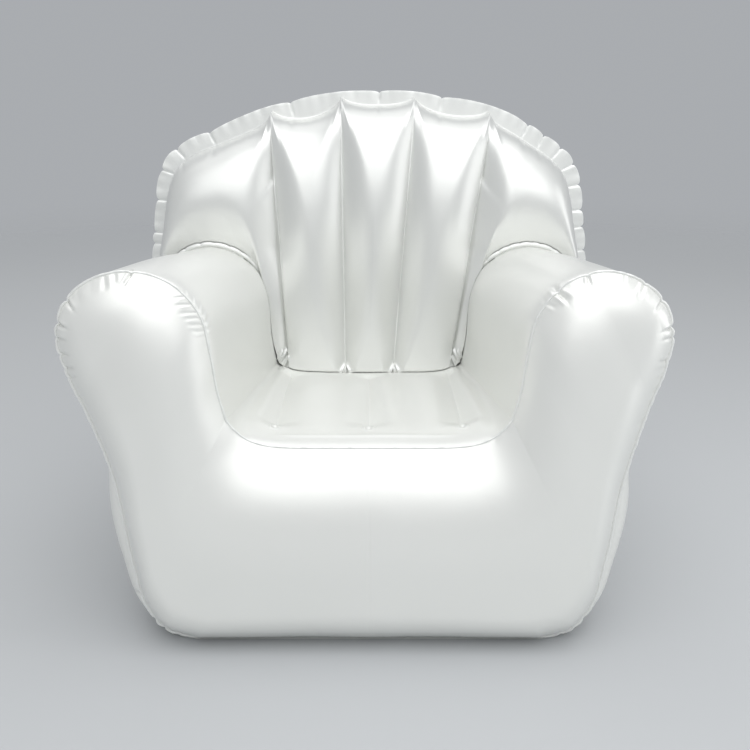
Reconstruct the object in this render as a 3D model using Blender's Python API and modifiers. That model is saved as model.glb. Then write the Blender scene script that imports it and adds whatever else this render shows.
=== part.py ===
"""An inflatable armchair of welded PVC film, built panel by panel in metres.

+Z is up, the chair faces -Y, and the origin is on the floor below its middle.
Two air chambers: a seat and arm block, and a backrest pillow that runs down to the floor.
Both stand on one base sheet. Each panel is a sheet bent by a formula and given its film
thickness. Panels meet in welds, where their edges lie side by side with a small gap.
"""

import math
from collections import namedtuple

import bmesh
import bpy
import numpy as np
from mathutils import Matrix, Vector

# Film and welds
FILM = 0.0004
GAP = 0.0003
FIN_WIDTH = 0.006
FIN_CLEAR = 0.006
FIN_RAMP = 0.030
FIN_END_SHARE = 0.12
LAP_WIDTH = 0.008
FLANGE_SIDE_WIDTH = 0.024
FLANGE_TOP_WIDTH = 0.014
MERGE = 0.00001

# The chair over all
OVERALL_WIDTH = 1.11
OVERALL_DEPTH = 0.92
OVERALL_HEIGHT = 1.002

# Arms and seat at their front weld, and at the bulkhead behind them
ARM_HEIGHT = 0.714
ARM_REAR_HEIGHT = 0.660
ARM_TAPER = 0.081
SEAT_WIDTH = 0.524
SEAT_REAR_WIDTH = 0.424
SEAT_HEIGHT = 0.386
SEAT_REAR_HEIGHT = 0.357
CREASE_RISE = 0.054
CREASE_REAR_RISE = 0.031
SEAT_DEPTH = 0.595
FRONT_CROWN = 0.056

# Half outlines of the block at those two places, from the foot up the side, over the arm and
# down to the crease. Across, foot, side and waist are shares of the arm's widest place, and
# top and inner are shares of the arm's own width. Up, inner is a share of the height from the
# crease to the top, and the others are shares of the arm's height.
Section = namedtuple(
    "Section",
    "foot_x side_x side_z waist_x waist_z arm_x arm_z top_x top_z inner_x inner_z crease_x crease_z seat_z",
)
OutlineShares = namedtuple(
    "OutlineShares",
    "foot_x_share side_x_share side_z_share waist_x_share waist_z_share arm_z_share top_x_share "
    "inner_x_share inner_z_share",
)
FRONT_SHARES = OutlineShares(
    foot_x_share=0.601,
    side_x_share=0.807,
    side_z_share=0.217,
    waist_x_share=0.860,
    waist_z_share=0.476,
    arm_z_share=0.840,
    top_x_share=0.544,
    inner_x_share=0.084,
    inner_z_share=0.456,
)
REAR_SHARES = OutlineShares(
    foot_x_share=0.752,
    side_x_share=0.872,
    side_z_share=0.197,
    waist_x_share=0.923,
    waist_z_share=0.455,
    arm_z_share=0.833,
    top_x_share=0.617,
    inner_x_share=0.137,
    inner_z_share=0.632,
)
LOW_SIDE_SHARES = ((0.54, 0.14), (0.83, 0.45))
UPPER_SIDE_SHARES = ((0.49, 0.47), (0.89, 0.79))
INNER_FLANK_SHARES = ((0.46, 0.60),)
TOP_TURN_SHARES = (1 / 3, 2 / 3)
FILLET_POWER = 6
FLANK_BULGE = 0.060
FLANK_PLACE_SHARES = (0, 0.10, 0.22, 0.36, 0.50, 0.68, 0.85, 1)
FLANK_SWELL_SHARES = (0, 0.75, 1, 0.70, 0.35, 0.35, 0.45, 0)

# Seat
SEAT_CROWN = 0.030
SEAT_WELD_SHARE = 0.84
SEAT_WELD_DEPTH = 0.014
SEAT_WELD_FRONT = 0.110
SEAT_WELD_REAR_CLEAR = 0.055
SEAT_WELD_FADE = 0.030
SEAT_RIM_SHARE = 0.67

# Backrest. Its weld line is in shares of its widest place across and of its top up.
PILLOW_DEPTH = 0.100
PILLOW_LEAN = 0.050
BACK_REACH = 0.019
BACK_FOOT_SHARE = 0.805
BACK_SIDE_SHARES = ((0.965, 0.304), (1, 0.698), (0.928, 0.853), (0.723, 0.915))
OUTER_WELD_TOP_SHARES = (0.499, 0.9615)
INNER_WELD_TOP_SHARES = (0.170, 0.9939)
OUTER_WELD_FOOT_SHARE = 0.915
INNER_WELD_FOOT_SHARE = 0.260
CHANNEL_DEPTH = 0.034
WING_DEPTH = 0.052
REAR_VALLEY = 0.030
SEAM_DIP = 0.013
FOOT_RADIUS = 0.045
PILLOW_ROUND = 2.3
SWELL_POWER = 2.4
START_POWER = 6
WING_BLOCK_SHARES = (0, 0.10, 0.18, 0.24, 0.28, 0.35, 0.40, 0.48, 0.55, 1)
WING_WELD_SHARES = (0, 0.045, 0.074, 0.12, 0.17, 0.245, 0.32, 0.436, 0.545, 1)
WING_RISE_SHARE = 0.3
WING_DIP_SHARE = 0.2
CHANNEL_START_SHARE = 0.22
WING_NARROW = 0.10

# Inner strips
STRIP_TAB = 0.008
STRIP_SEAT = 0.0008
BACK_STRIP_LOW = 0.050
BACK_STRIP_TOP = 0.070

# Valves, one shape for both chambers
FLANGE_RADIUS = 0.019
FLANGE_THICKNESS = 0.0009
SLEEVE_RADIUS = 0.0105
SLEEVE_WALL = 0.0015
SLEEVE_LENGTH = 0.022
SLEEVE_LIP = 0.0008
LIP_HEIGHT = 0.0015
STEM_RADIUS = 0.0080
STEM_WALL = 0.0025
STEM_LENGTH = 0.0195
STEM_BEAD = 0.0008
BEAD_HEIGHT = 0.0015
STEM_RIM_RADIUS = 0.0100
STEM_RIM_THICKNESS = 0.0012
PLUG_CLEARANCE = 0.0002
PLUG_LENGTH = 0.0080
PLUG_HEAD_RADIUS = 0.0095
PLUG_HEAD_THICKNESS = 0.0016
PLUG_TAB_LENGTH = 0.0050
PLUG_TAB_WIDTH = 0.0080
FLAP_RADIUS = 0.0067
FLAP_THICKNESS = 0.0008
FLAP_TONGUE_WIDTH = 0.0040
FLAP_TONGUE_LENGTH = 0.0016
TETHER_RADIUS = 0.0006
TETHER_REACH = 0.0045
EDGE_ROUND = 0.0003
HOLE_OVERRUN = 0.010
BACK_VALVE_SHARE = 0.62
BACK_VALVE_HEIGHT_SHARE = 0.30
SEAT_VALVE_SHARE = 0.25
SEAT_VALVE_DEPTH_SHARE = 0.80
VALVE_PATCH_SHARE = 0.02

# Fineness
CURVE_STEPS = 24
TURN_STEPS = 24
BEND_STEPS = 6
FLANK_COLUMNS = 24
BLOCK_ROWS = 8
FRONT_COLUMNS = 20
FRONT_ROWS = 8
SEAT_SIDE_COLUMNS = 4
SEAT_MIDDLE_COLUMNS = 8
SEAT_ROWS = 9
WING_COLUMNS = 25
REAR_WING_COLUMNS = 13
CHANNEL_COLUMNS = 6
MIDDLE_COLUMNS = 3
BULKHEAD_ROWS = 2
BAND_ROWS = 7
REAR_ROWS = 8
STRIP_ROWS = 4

HALF_WELD = (GAP + FILM) / 2
FLOOR_Z = FILM + GAP + FILM / 2
FRONT_SEAM_Y = FRONT_CROWN - OVERALL_DEPTH / 2
BULKHEAD_Y = FRONT_SEAM_Y + SEAT_DEPTH
REAR_Y = OVERALL_DEPTH / 2
HOLE_RADIUS = SLEEVE_RADIUS + GAP
STEM_BORE = STEM_RADIUS - STEM_WALL


def sized(shares, arm_x, seat_x, top_z, seat_z, crease_rise):
    """The block's half outline in metres, from its shares and the sizes that they follow."""
    crease_z = seat_z + crease_rise
    return Section(
        foot_x=arm_x * shares.foot_x_share,
        side_x=arm_x * shares.side_x_share,
        side_z=top_z * shares.side_z_share,
        waist_x=arm_x * shares.waist_x_share,
        waist_z=top_z * shares.waist_z_share,
        arm_x=arm_x,
        arm_z=top_z * shares.arm_z_share,
        top_x=seat_x + (arm_x - seat_x) * shares.top_x_share,
        top_z=top_z,
        inner_x=seat_x + (arm_x - seat_x) * shares.inner_x_share,
        inner_z=crease_z + (top_z - crease_z) * shares.inner_z_share,
        crease_x=seat_x,
        crease_z=crease_z,
        seat_z=seat_z,
    )


FRONT_ARM_X = OVERALL_WIDTH / 2 - FIN_WIDTH
REAR_ARM_X = FRONT_ARM_X - ARM_TAPER
FRONT = sized(FRONT_SHARES, FRONT_ARM_X, SEAT_WIDTH / 2, ARM_HEIGHT, SEAT_HEIGHT, CREASE_RISE)
REAR = sized(REAR_SHARES, REAR_ARM_X, SEAT_REAR_WIDTH / 2, ARM_REAR_HEIGHT, SEAT_REAR_HEIGHT,
             CREASE_REAR_RISE)
SEAT_WELD_X = REAR.crease_x * SEAT_WELD_SHARE
SEAT_WELD_REAR = SEAT_DEPTH - SEAT_WELD_REAR_CLEAR
BACK_SIDE_X = REAR_ARM_X + BACK_REACH
BACK_TOP_Z = OVERALL_HEIGHT - FLANGE_TOP_WIDTH
BACK_FOOT_X = BACK_SIDE_X * BACK_FOOT_SHARE
OUTER_WELD_TOP = (BACK_SIDE_X * OUTER_WELD_TOP_SHARES[0], BACK_TOP_Z * OUTER_WELD_TOP_SHARES[1])
INNER_WELD_TOP = (BACK_SIDE_X * INNER_WELD_TOP_SHARES[0], BACK_TOP_Z * INNER_WELD_TOP_SHARES[1])
OUTER_WELD_FOOT_X = REAR.crease_x * OUTER_WELD_FOOT_SHARE
INNER_WELD_FOOT_X = REAR.crease_x * INNER_WELD_FOOT_SHARE


def clear_scene():
    for item in list(bpy.data.objects):
        bpy.data.objects.remove(item, do_unlink=True)
    for item in list(bpy.data.meshes):
        bpy.data.meshes.remove(item)


def new_collection(name):
    collection = bpy.data.collections.new(name)
    bpy.context.scene.collection.children.link(collection)
    return collection


def new_material(name, colour, roughness, alpha=1.0):
    material = bpy.data.materials.new(name)
    material.use_nodes = True
    shader = material.node_tree.nodes["Principled BSDF"]
    shader.inputs["Base Color"].default_value = (*colour, 1)
    shader.inputs["Roughness"].default_value = roughness
    shader.inputs["Metallic"].default_value = 0
    shader.inputs["Alpha"].default_value = alpha
    return material


# Curves and outlines


def smooth_curve(points):
    """A dense curve through the points, with each one's tangent along its neighbours' chord."""
    points = np.array(points, float)
    knots = lengths_of(points)
    slopes = np.gradient(points, knots, axis=0)
    spans = [np.linspace(a, b, CURVE_STEPS, endpoint=False) for a, b in zip(knots[:-1], knots[1:])]
    places = np.concatenate([*spans, knots[-1:]])
    left = np.clip(np.searchsorted(knots, places, side="right") - 1, 0, len(knots) - 2)
    span = (knots[left + 1] - knots[left])[:, None]
    u = (places - knots[left])[:, None] / span
    start = (2 * u**3 - 3 * u**2 + 1) * points[left] + (u**3 - 2 * u**2 + u) * span * slopes[left]
    end = (3 * u**2 - 2 * u**3) * points[left + 1] + (u**3 - u**2) * span * slopes[left + 1]
    return start + end


def lengths_of(curve):
    return np.concatenate([[0], np.cumsum(np.linalg.norm(np.diff(curve, axis=0), axis=1))])


def spaced(curve, shares):
    """The curve's points at these shares of its length."""
    along = lengths_of(curve)
    wanted = np.asarray(shares) * along[-1]
    return np.stack([np.interp(wanted, along, curve[:, k]) for k in range(curve.shape[1])], axis=1)


def normals_of(curve):
    """Unit vectors square to a curve of places across and up, on its left as it runs."""
    run = np.gradient(curve, axis=0)
    run /= np.linalg.norm(run, axis=1, keepdims=True)
    return np.stack([run[:, 1], -run[:, 0]], axis=1)


def between(start, end, shares):
    """Places between two others, each at a share of the way across and a share of the way up."""
    return [
        (start[0] + (end[0] - start[0]) * across, start[1] + (end[1] - start[1]) * up)
        for across, up in shares
    ]


def arm_outline(s):
    """The block's half outline from the floor, up the side, over the arm and down to the crease."""
    foot, side, waist = (s.foot_x, FLOOR_Z), (s.side_x, s.side_z), (s.waist_x, s.waist_z)
    arm, top = (s.arm_x, s.arm_z), (s.top_x, s.top_z)
    inner, crease = (s.inner_x, s.inner_z), (s.crease_x, s.crease_z)
    turns = [share * math.pi / 2 for share in TOP_TURN_SHARES]
    rising = [(math.cos(turn), math.sin(turn)) for turn in turns]
    outer_turn = [
        (s.top_x + (s.arm_x - s.top_x) * c, s.arm_z + (s.top_z - s.arm_z) * h) for c, h in rising
    ]
    inner_turn = [
        (s.top_x - (s.top_x - s.inner_x) * c, s.inner_z + (s.top_z - s.inner_z) * h)
        for c, h in rising[::-1]
    ]
    return smooth_curve(
        [
            foot,
            *between(foot, side, LOW_SIDE_SHARES),
            side,
            waist,
            *between(waist, arm, UPPER_SIDE_SHARES),
            arm,
            *outer_turn,
            top,
            *inner_turn,
            inner,
            *between(inner, crease, INNER_FLANK_SHARES),
            crease,
        ]
    )


def seat_height(s, x):
    """The seat line's height: level in the middle, with a fillet up to the crease."""
    return s.seat_z + (s.crease_z - s.seat_z) * (x / s.crease_x) ** FILLET_POWER


def seat_outline(s):
    """The block's half outline from the crease to the middle of the seat."""
    x = np.linspace(s.crease_x, 0, 3 * CURVE_STEPS)
    return np.stack([x, seat_height(s, x)], axis=1)


def grown(s, by):
    """The section's outline moved outwards, for what has to stay clear of it."""
    return s._replace(
        foot_x=s.foot_x + by,
        side_x=s.side_x + by,
        waist_x=s.waist_x + by,
        arm_x=s.arm_x + by,
        top_z=s.top_z + by,
        inner_x=s.inner_x - by,
        crease_x=s.crease_x - by,
        crease_z=s.crease_z + by,
        seat_z=s.seat_z + by,
    )


def pillow_outline():
    """The backrest's half weld line, from the floor up the side and over to the middle."""
    side = [(BACK_SIDE_X * across, BACK_TOP_Z * up) for across, up in BACK_SIDE_SHARES]
    return smooth_curve([(BACK_FOOT_X, FLOOR_Z), *side, OUTER_WELD_TOP, INNER_WELD_TOP, (0, BACK_TOP_Z)])


def share_near(curve, x, z):
    """The share of the curve's length at which it passes nearest to a place."""
    nearest = np.argmin(np.hypot(curve[:, 0] - x, curve[:, 1] - z))
    return lengths_of(curve)[nearest] / lengths_of(curve)[-1]


def swell(share, power=SWELL_POWER):
    """A pillow's height across it: 0 at both edges, where it leaves steeply, and 1 in the middle."""
    return np.clip(1 - np.abs(2 * share - 1) ** power, 0, 1) ** (1 / power)


def row_shares(count):
    """Shares from 0 to 1 that crowd together at the weld, where the film turns most."""
    return np.sin(np.linspace(0, 1, count + 1) * np.pi / 2)


def ease(share):
    share = np.clip(share, 0, 1)
    return share * share * (3 - 2 * share)


# Sheets


def sheet(name, grid, material, collection, mirrored=False):
    """An object from a grid of points, as film of even thickness on both sides of it."""
    rows, columns = grid.shape[:2]
    first = np.arange(rows * columns).reshape(rows, columns)
    quads = np.stack([first[:-1, :-1], first[1:, :-1], first[1:, 1:], first[:-1, 1:]], axis=-1)
    mesh = bpy.data.meshes.new(name)
    mesh.from_pydata(grid.reshape(-1, 3).tolist(), [], quads.reshape(-1, 4).tolist())
    work = bmesh.new()
    work.from_mesh(mesh)
    bmesh.ops.remove_doubles(work, verts=work.verts, dist=MERGE)
    work.to_mesh(mesh)
    work.free()
    mesh.shade_smooth()
    mesh.materials.append(material)
    item = bpy.data.objects.new(name, mesh)
    collection.objects.link(item)
    if mirrored:
        mirror = item.modifiers.new("Mirror", "MIRROR")
        mirror.merge_threshold = MERGE
    solid = item.modifiers.new("Film", "SOLIDIFY")
    solid.thickness = FILM
    solid.offset = 0
    return item


def outline_grid(flat, y):
    """A row of places across and up at this depth, as points."""
    y = np.broadcast_to(y, flat.shape[:-1])
    return np.stack([flat[..., 0], y, flat[..., 1]], axis=-1)


def fin_width(flat, end_share):
    """How wide a fin is along an outline: none at the floor, nor at its other end if it has one."""
    width = FIN_WIDTH * ease((flat[:, 1] - 2 * FIN_WIDTH) / FIN_RAMP)
    if end_share:
        width = width * ease((1 - np.linspace(0, 1, len(flat))) / end_share)
    return width


def framed(grid, front, back, first, last):
    """A grid with a strip along each edge. A strip is a row or column of points, or None."""
    if first is not None:
        grid = np.concatenate([first[:, None], grid], axis=1)
        front = None if front is None else np.concatenate([front[:1], front])
        back = None if back is None else np.concatenate([back[:1], back])
    if last is not None:
        grid = np.concatenate([grid, last[:, None]], axis=1)
        front = None if front is None else np.concatenate([front, front[-1:]])
        back = None if back is None else np.concatenate([back, back[-1:]])
    parts = [grid]
    if front is not None:
        parts.insert(0, front[None])
    if back is not None:
        parts.append(back[None])
    return np.concatenate(parts)


def end_ramp(count):
    """0 at both ends and 1 between them."""
    share = np.linspace(0, 1, count)
    return ease(share * count / 2) * ease((1 - share) * count / 2)


def front_panel(material, collection):
    """A lens between its outer and its inner edge, from the arm's widest place to the middle."""
    arm = arm_outline(FRONT)
    pole = share_near(arm, FRONT.arm_x, FRONT.arm_z)
    cut = int(np.searchsorted(lengths_of(arm) / lengths_of(arm)[-1], pole))
    outer = np.concatenate([arm[: cut + 1][::-1], [[0, FLOOR_Z]]])
    inner = np.concatenate([arm[cut:], seat_outline(FRONT)[1:]])
    u = np.linspace(0, 1, FRONT_COLUMNS + 1)
    low = spaced(outer, u**2)
    high = spaced(inner, u)
    v = np.linspace(0, 1, FRONT_ROWS + 1)[:, None]
    flat = low[None] + (high - low)[None] * v[..., None]
    width = np.linalg.norm(high - low, axis=1)
    crown = FRONT_CROWN * np.sqrt(width / width.max())
    y = FRONT_SEAM_Y - HALF_WELD - (crown[None] - HALF_WELD) * swell(v)
    grid = outline_grid(flat, y)
    seam = FRONT_SEAM_Y - HALF_WELD
    low_out = -normals_of(low)
    low_out[0] = (1, 0)
    fin = fin_width(low, 0)[:, None]
    bottom = outline_grid(low + low_out * fin, seam)
    under = low[:, 0] < FRONT.foot_x
    bottom[under, 1] += LAP_WIDTH * ease((FRONT.foot_x - low[under, 0]) / FIN_RAMP)
    high_out = normals_of(high)
    high_out[0] = (1, 0)
    high_out[-1] = (0, 1)
    top = outline_grid(high + high_out * FIN_WIDTH, seam)
    top[-1, 0] = 0
    return sheet("front_panel", framed(grid, bottom, top, None, None), material, collection, mirrored=True)


def flank_point(share, depth_share):
    """Points of the arm panel: outlines lofted from front to rear, swollen outwards between them."""
    front = spaced(arm_outline(FRONT), share)
    rear = spaced(arm_outline(REAR), share)
    t = np.asarray(depth_share)[:, None, None]
    flat = front + (rear - front) * t
    run = np.gradient(flat, axis=1)
    run /= np.linalg.norm(run, axis=2, keepdims=True)
    out = np.stack([run[..., 1], np.maximum(-run[..., 0], 0)], axis=-1)
    amount = FLANK_BULGE * read_smoothly(FLANK_PLACE_SHARES, FLANK_SWELL_SHARES, share)
    flat = flat + out * amount[None, :, None] * swell(t)
    y = FRONT_SEAM_Y + HALF_WELD + (SEAT_DEPTH - 2 * HALF_WELD) * t[..., 0]
    return outline_grid(flat, y), flat


def read_smoothly(places, values, share):
    """The value at each share, along a smooth curve through the values at their places."""
    curve = smooth_curve(list(zip(places, values)))
    return np.interp(share, curve[:, 0], curve[:, 1])


def crease_frame(flat_arm):
    """At each depth, the way into the block and the way along the outline, at the crease."""
    run = flat_arm[:, -1] - flat_arm[:, -2]
    run /= np.linalg.norm(run, axis=1, keepdims=True)
    inward = np.stack([-run[:, 1], run[:, 0]], axis=1)
    return inward, run


def arm_grid():
    share = np.linspace(0, 1, FLANK_COLUMNS + 1)
    t = np.linspace(0, 1, BLOCK_ROWS + 1)
    grid, flat = flank_point(share, t)
    inward, run = crease_frame(flat)
    grid[:, -1, 0] -= run[:, 0] * HALF_WELD
    grid[:, -1, 2] -= run[:, 1] * HALF_WELD
    front_flat, rear_flat = flat[0], flat[-1]
    width = fin_width(front_flat, FIN_END_SHARE)[:, None]
    front = outline_grid(front_flat + normals_of(front_flat) * width, grid[0, 0, 1])
    width = fin_width(rear_flat, FIN_END_SHARE)[:, None]
    rear = outline_grid(rear_flat + normals_of(rear_flat) * width, grid[-1, 0, 1])
    front[-1], rear[-1] = grid[0, -1], grid[-1, -1]
    ramp = end_ramp(len(t))
    foot = grid[:, 0].copy()
    foot[:, 0] -= LAP_WIDTH * ramp
    crease = grid[:, -1].copy()
    crease[:, 0] += inward[:, 0] * LAP_WIDTH * ramp
    crease[:, 2] += inward[:, 1] * LAP_WIDTH * ramp
    return framed(grid, front, rear, foot, crease)


def arm_panel(name, side, material, collection):
    grid = arm_grid()
    grid[..., 0] *= side
    if side < 0:
        grid = grid[:, ::-1]
    return sheet(name, grid, material, collection)


def seat_point(column_x, depth_share):
    """Points of the seat. column_x says each column's place as a share from crease to weld to middle."""
    t = np.asarray(depth_share)[:, None]
    column = np.asarray(column_x)
    outer = np.clip(column, 0, 1)
    middle = np.clip(column - 1, 0, 1)
    ends = []
    for s in (FRONT, REAR):
        x = s.crease_x + (SEAT_WELD_X - s.crease_x) * outer
        x = x * (1 - middle)
        ends.append(np.stack([x, seat_height(s, x)], axis=1))
    flat = ends[0][None] + (ends[1] - ends[0])[None] * t[..., None]
    channel = np.where(column <= 1, swell(outer), swell(middle))
    depth = t * SEAT_DEPTH
    window = ease((depth - SEAT_WELD_FRONT) / SEAT_WELD_FADE)
    window = window * ease((SEAT_WELD_REAR - depth) / SEAT_WELD_FADE)
    rim = ease(outer / SEAT_RIM_SHARE)
    rise = SEAT_CROWN * swell(t, 2) * rim[None]
    flat[..., 1] += rise - SEAT_WELD_DEPTH * window * (1 - channel)[None] * rim[None]
    y = FRONT_SEAM_Y + HALF_WELD + (SEAT_DEPTH - 2 * HALF_WELD) * t
    return outline_grid(flat, y), flat


def seat_panel(material, collection):
    column = np.concatenate(
        [
            np.linspace(0, 1, SEAT_SIDE_COLUMNS, endpoint=False),
            np.linspace(1, 2, SEAT_MIDDLE_COLUMNS + 1),
        ]
    )
    t = np.linspace(0, 1, SEAT_ROWS + 1)
    grid, flat = seat_point(column, t)
    _, arm_flat = flank_point(np.linspace(0, 1, FLANK_COLUMNS + 1), t)
    inward, run = crease_frame(arm_flat)
    grid[:, 0, 0] += run[:, 0] * HALF_WELD
    grid[:, 0, 2] += run[:, 1] * HALF_WELD
    edge = ease(column * 2)[:, None]
    front = outline_grid(flat[0] + normals_of(flat[0]) * FIN_WIDTH * edge, grid[0, 0, 1])
    front[0] = grid[0, 0]
    front[-1, 0] = 0
    rear = grid[-1].copy()
    rear[:, 2] -= LAP_WIDTH * edge[:, 0]
    ramp = end_ramp(len(t))
    crease = grid[:, 0].copy()
    crease[:, 0] += inward[:, 0] * LAP_WIDTH * ramp
    crease[:, 2] += inward[:, 1] * LAP_WIDTH * ramp
    return sheet("seat_panel", framed(grid, front, rear, crease, None), material, collection, mirrored=True)


# Backrest


def weld_plane(z):
    """The depth of the backrest's weld flange, which leans back with height."""
    return BULKHEAD_Y + PILLOW_DEPTH + PILLOW_LEAN * z / BACK_TOP_Z


def pillow_hold(t):
    """How fully the pillow keeps its depth on the way from its wall (t 0) to its weld (t 1)."""
    return (1 - t**PILLOW_ROUND) ** (1 / PILLOW_ROUND)


def arch(share):
    """0 at both ends of a channel and 1 in its middle, in a round bow."""
    return np.sin(np.clip(share, 0, 1) * np.pi)


def floor_place(foot_x, foot_z, top):
    """Where the line from a weld's top through its foot meets the floor."""
    return foot_x - (top[0] - foot_x) / (top[1] - foot_z) * foot_z


def back_columns(wing_columns):
    """The backrest's columns, from the foot over each wing and channel to the middle.

    For each: its place on the bulkhead's edge, on the weld, on the line that the flange
    follows and on the floor, then how far it swells forward, in metres and as a share.
    """
    edge_section = grown(REAR, FIN_WIDTH + FIN_CLEAR)
    arm = arm_outline(edge_section)
    seat = seat_outline(edge_section)
    seat_outer = seat[seat[:, 0] > OUTER_WELD_FOOT_X]
    weld_foot = (OUTER_WELD_FOOT_X, seat_height(edge_section, OUTER_WELD_FOOT_X))
    wing_edge = np.concatenate([arm, seat_outer[1:], [weld_foot]])[::-1]
    weld = pillow_outline()[::-1]
    outer = share_near(weld, *OUTER_WELD_TOP)
    inner = share_near(weld, *INNER_WELD_TOP)
    wing = np.linspace(0, 1, wing_columns + 1)
    wing_weld = np.interp(wing, WING_BLOCK_SHARES, WING_WELD_SHARES)
    channel = np.linspace(1, 0, CHANNEL_COLUMNS + 1)[1:]
    middle = np.linspace(1, 0, MIDDLE_COLUMNS + 1)[1:]
    channel_x = INNER_WELD_FOOT_X + (OUTER_WELD_FOOT_X - INNER_WELD_FOOT_X) * channel
    edge_x = np.concatenate([channel_x, INNER_WELD_FOOT_X * middle])
    seat_edge = np.stack([edge_x, seat_height(edge_section, edge_x)], axis=1)
    edge = np.concatenate([spaced(wing_edge, wing)[::-1], seat_edge])
    weld_share = np.concatenate(
        [(outer + (1 - outer) * wing_weld)[::-1], inner + (outer - inner) * channel, inner * middle]
    )
    line = spaced(weld, weld_share)
    line[-1, 0] = 0
    dip = np.concatenate(
        [arch(wing_weld / WING_DIP_SHARE)[::-1], arch(channel), arch((1 + middle) / 2)]
    )
    inward = -flange_way(line)
    top = line + inward * (SEAM_DIP * dip)[:, None]
    outer_floor = floor_place(*weld_foot, OUTER_WELD_TOP)
    inner_floor = floor_place(INNER_WELD_FOOT_X, edge_section.seat_z, INNER_WELD_TOP)
    floor_x = np.concatenate(
        [
            (outer_floor + (edge_section.foot_x - outer_floor) * wing)[::-1],
            inner_floor + (outer_floor - inner_floor) * channel,
            inner_floor * middle,
        ]
    )
    floor = np.stack([floor_x, np.full(len(floor_x), FLOOR_Z)], axis=1)
    reach = np.linalg.norm(top - edge, axis=1)
    wing_shape = (1 - (1 - np.clip(wing / WING_RISE_SHARE, 0, 1)) ** SWELL_POWER)[::-1]
    shape = np.concatenate([wing_shape, swell(channel), swell((1 + middle) / 2)])
    shape[len(wing) + len(channel) - 1] = 0
    depth = np.where(np.arange(len(shape)) < len(wing), WING_DEPTH, CHANNEL_DEPTH)
    puff = depth * shape * ease(reach / WING_NARROW)
    return edge, top, line, floor, puff, shape


def back_front_points(edge, top, t, puff):
    """The leaning surface between the bulkhead's edge (t 0) and the weld (t 1)."""
    t = np.asarray(t)[:, None]
    flat = edge[None] + (top - edge)[None] * t[..., None]
    weld_y = weld_plane(flat[..., 1]) - HALF_WELD
    wall_y = BULKHEAD_Y + HALF_WELD
    start = ease(t / CHANNEL_START_SHARE) * (1 - t**START_POWER)
    y = weld_y - (weld_y - wall_y) * pillow_hold(t) - puff[None] * start
    return outline_grid(flat, y)


def back_rear_points(floor, top, t, shape):
    """The rear surface between the floor (t 0) and the weld (t 1)."""
    t = np.asarray(t)[:, None]
    flat = floor[None] + (top - floor)[None] * t[..., None]
    weld_y = weld_plane(flat[..., 1]) + HALF_WELD
    roll = np.clip(FOOT_RADIUS - flat[..., 1], 0, FOOT_RADIUS)
    foot = FOOT_RADIUS - np.sqrt(FOOT_RADIUS**2 - roll**2)
    valley = REAR_VALLEY * (1 - shape)[None] * ease(t / CHANNEL_START_SHARE)
    return outline_grid(flat, weld_y + (REAR_Y - weld_y - valley - foot) * pillow_hold(t))


def flange_way(line):
    """The way out of the backrest along its weld line, straight up in the middle."""
    out = normals_of(line)
    out[-1] = (0, 1)
    return out


def flange_rows(line, side_y):
    """Points at the outer edge of the weld flange, in the leaning plane of the weld."""
    out = flange_way(line)
    upright = np.clip(np.abs(out[:, 0]), 0, 1)
    width = FLANGE_TOP_WIDTH + (FLANGE_SIDE_WIDTH - FLANGE_TOP_WIDTH) * upright
    flat = line + out * width[:, None]
    flat[:, 1] = np.maximum(flat[:, 1], FLOOR_Z)
    flat[-1, 0] = 0
    return outline_grid(flat, weld_plane(flat[:, 1]) + side_y)


def backrest_front_panel(material, collection):
    edge, top, line, floor, puff, _ = back_columns(WING_COLUMNS)
    wall_y = BULKHEAD_Y + HALF_WELD
    rows = np.linspace(0, 1, BULKHEAD_ROWS, endpoint=False)[:, None, None]
    wall = outline_grid(floor[None] + (edge - floor)[None] * rows, wall_y)
    lap = wall[0].copy()
    lap[:, 1] += LAP_WIDTH
    band = back_front_points(edge, top, row_shares(BAND_ROWS), puff)
    grid = np.concatenate([lap[None], wall, band, flange_rows(line, -HALF_WELD)[None]])
    return sheet("backrest_front_panel", grid, material, collection, mirrored=True)


def backrest_rear_panel(material, collection):
    _, top, line, floor, _, shape = back_columns(REAR_WING_COLUMNS)
    grid = back_rear_points(floor, top, row_shares(REAR_ROWS), shape)
    lap = grid[0].copy()
    lap[:, 1] -= LAP_WIDTH
    grid = np.concatenate([lap[None], grid, flange_rows(line, HALF_WELD)[None]])
    return sheet("backrest_rear_panel", grid[:, ::-1], material, collection, mirrored=True)


def base_panel(material, collection):
    """The flat sheet below both chambers, wider than them by its weld fin."""
    foot_x = REAR.foot_x + FIN_WIDTH + FIN_CLEAR + FIN_WIDTH
    pillow_x = BACK_FOOT_X + FLANGE_SIDE_WIDTH
    t = np.linspace(0, 1, BEND_STEPS + 1)
    x = foot_x + (pillow_x - foot_x) * t
    front_y = weld_plane(0) - FIN_WIDTH - (weld_plane(0) - FIN_WIDTH - BULKHEAD_Y) * pillow_hold(t)
    rear_y = weld_plane(0) + FIN_WIDTH + (REAR_Y - FOOT_RADIUS - weld_plane(0)) * pillow_hold(t)
    half = [
        (FRONT.foot_x + FIN_WIDTH, FRONT_SEAM_Y - FIN_WIDTH),
        (REAR.foot_x + FIN_WIDTH, BULKHEAD_Y - FIN_WIDTH),
        *zip(x, front_y),
        *zip(x[::-1], rear_y[::-1]),
    ]
    outline = half + [(-x, y) for x, y in half[::-1]]
    curve = bpy.data.curves.new("base_panel", "CURVE")
    curve.dimensions = "2D"
    curve.fill_mode = "BOTH"
    curve.extrude = FILM / 2
    line = curve.splines.new("POLY")
    line.points.add(len(outline) - 1)
    for point, (x, y) in zip(line.points, outline):
        point.co = (x, y, 0, 1)
    line.use_cyclic_u = True
    curve.materials.append(material)
    item = bpy.data.objects.new("base_panel", curve)
    item.location.z = FILM / 2
    collection.objects.link(item)
    return item


# Inner strips


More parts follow.
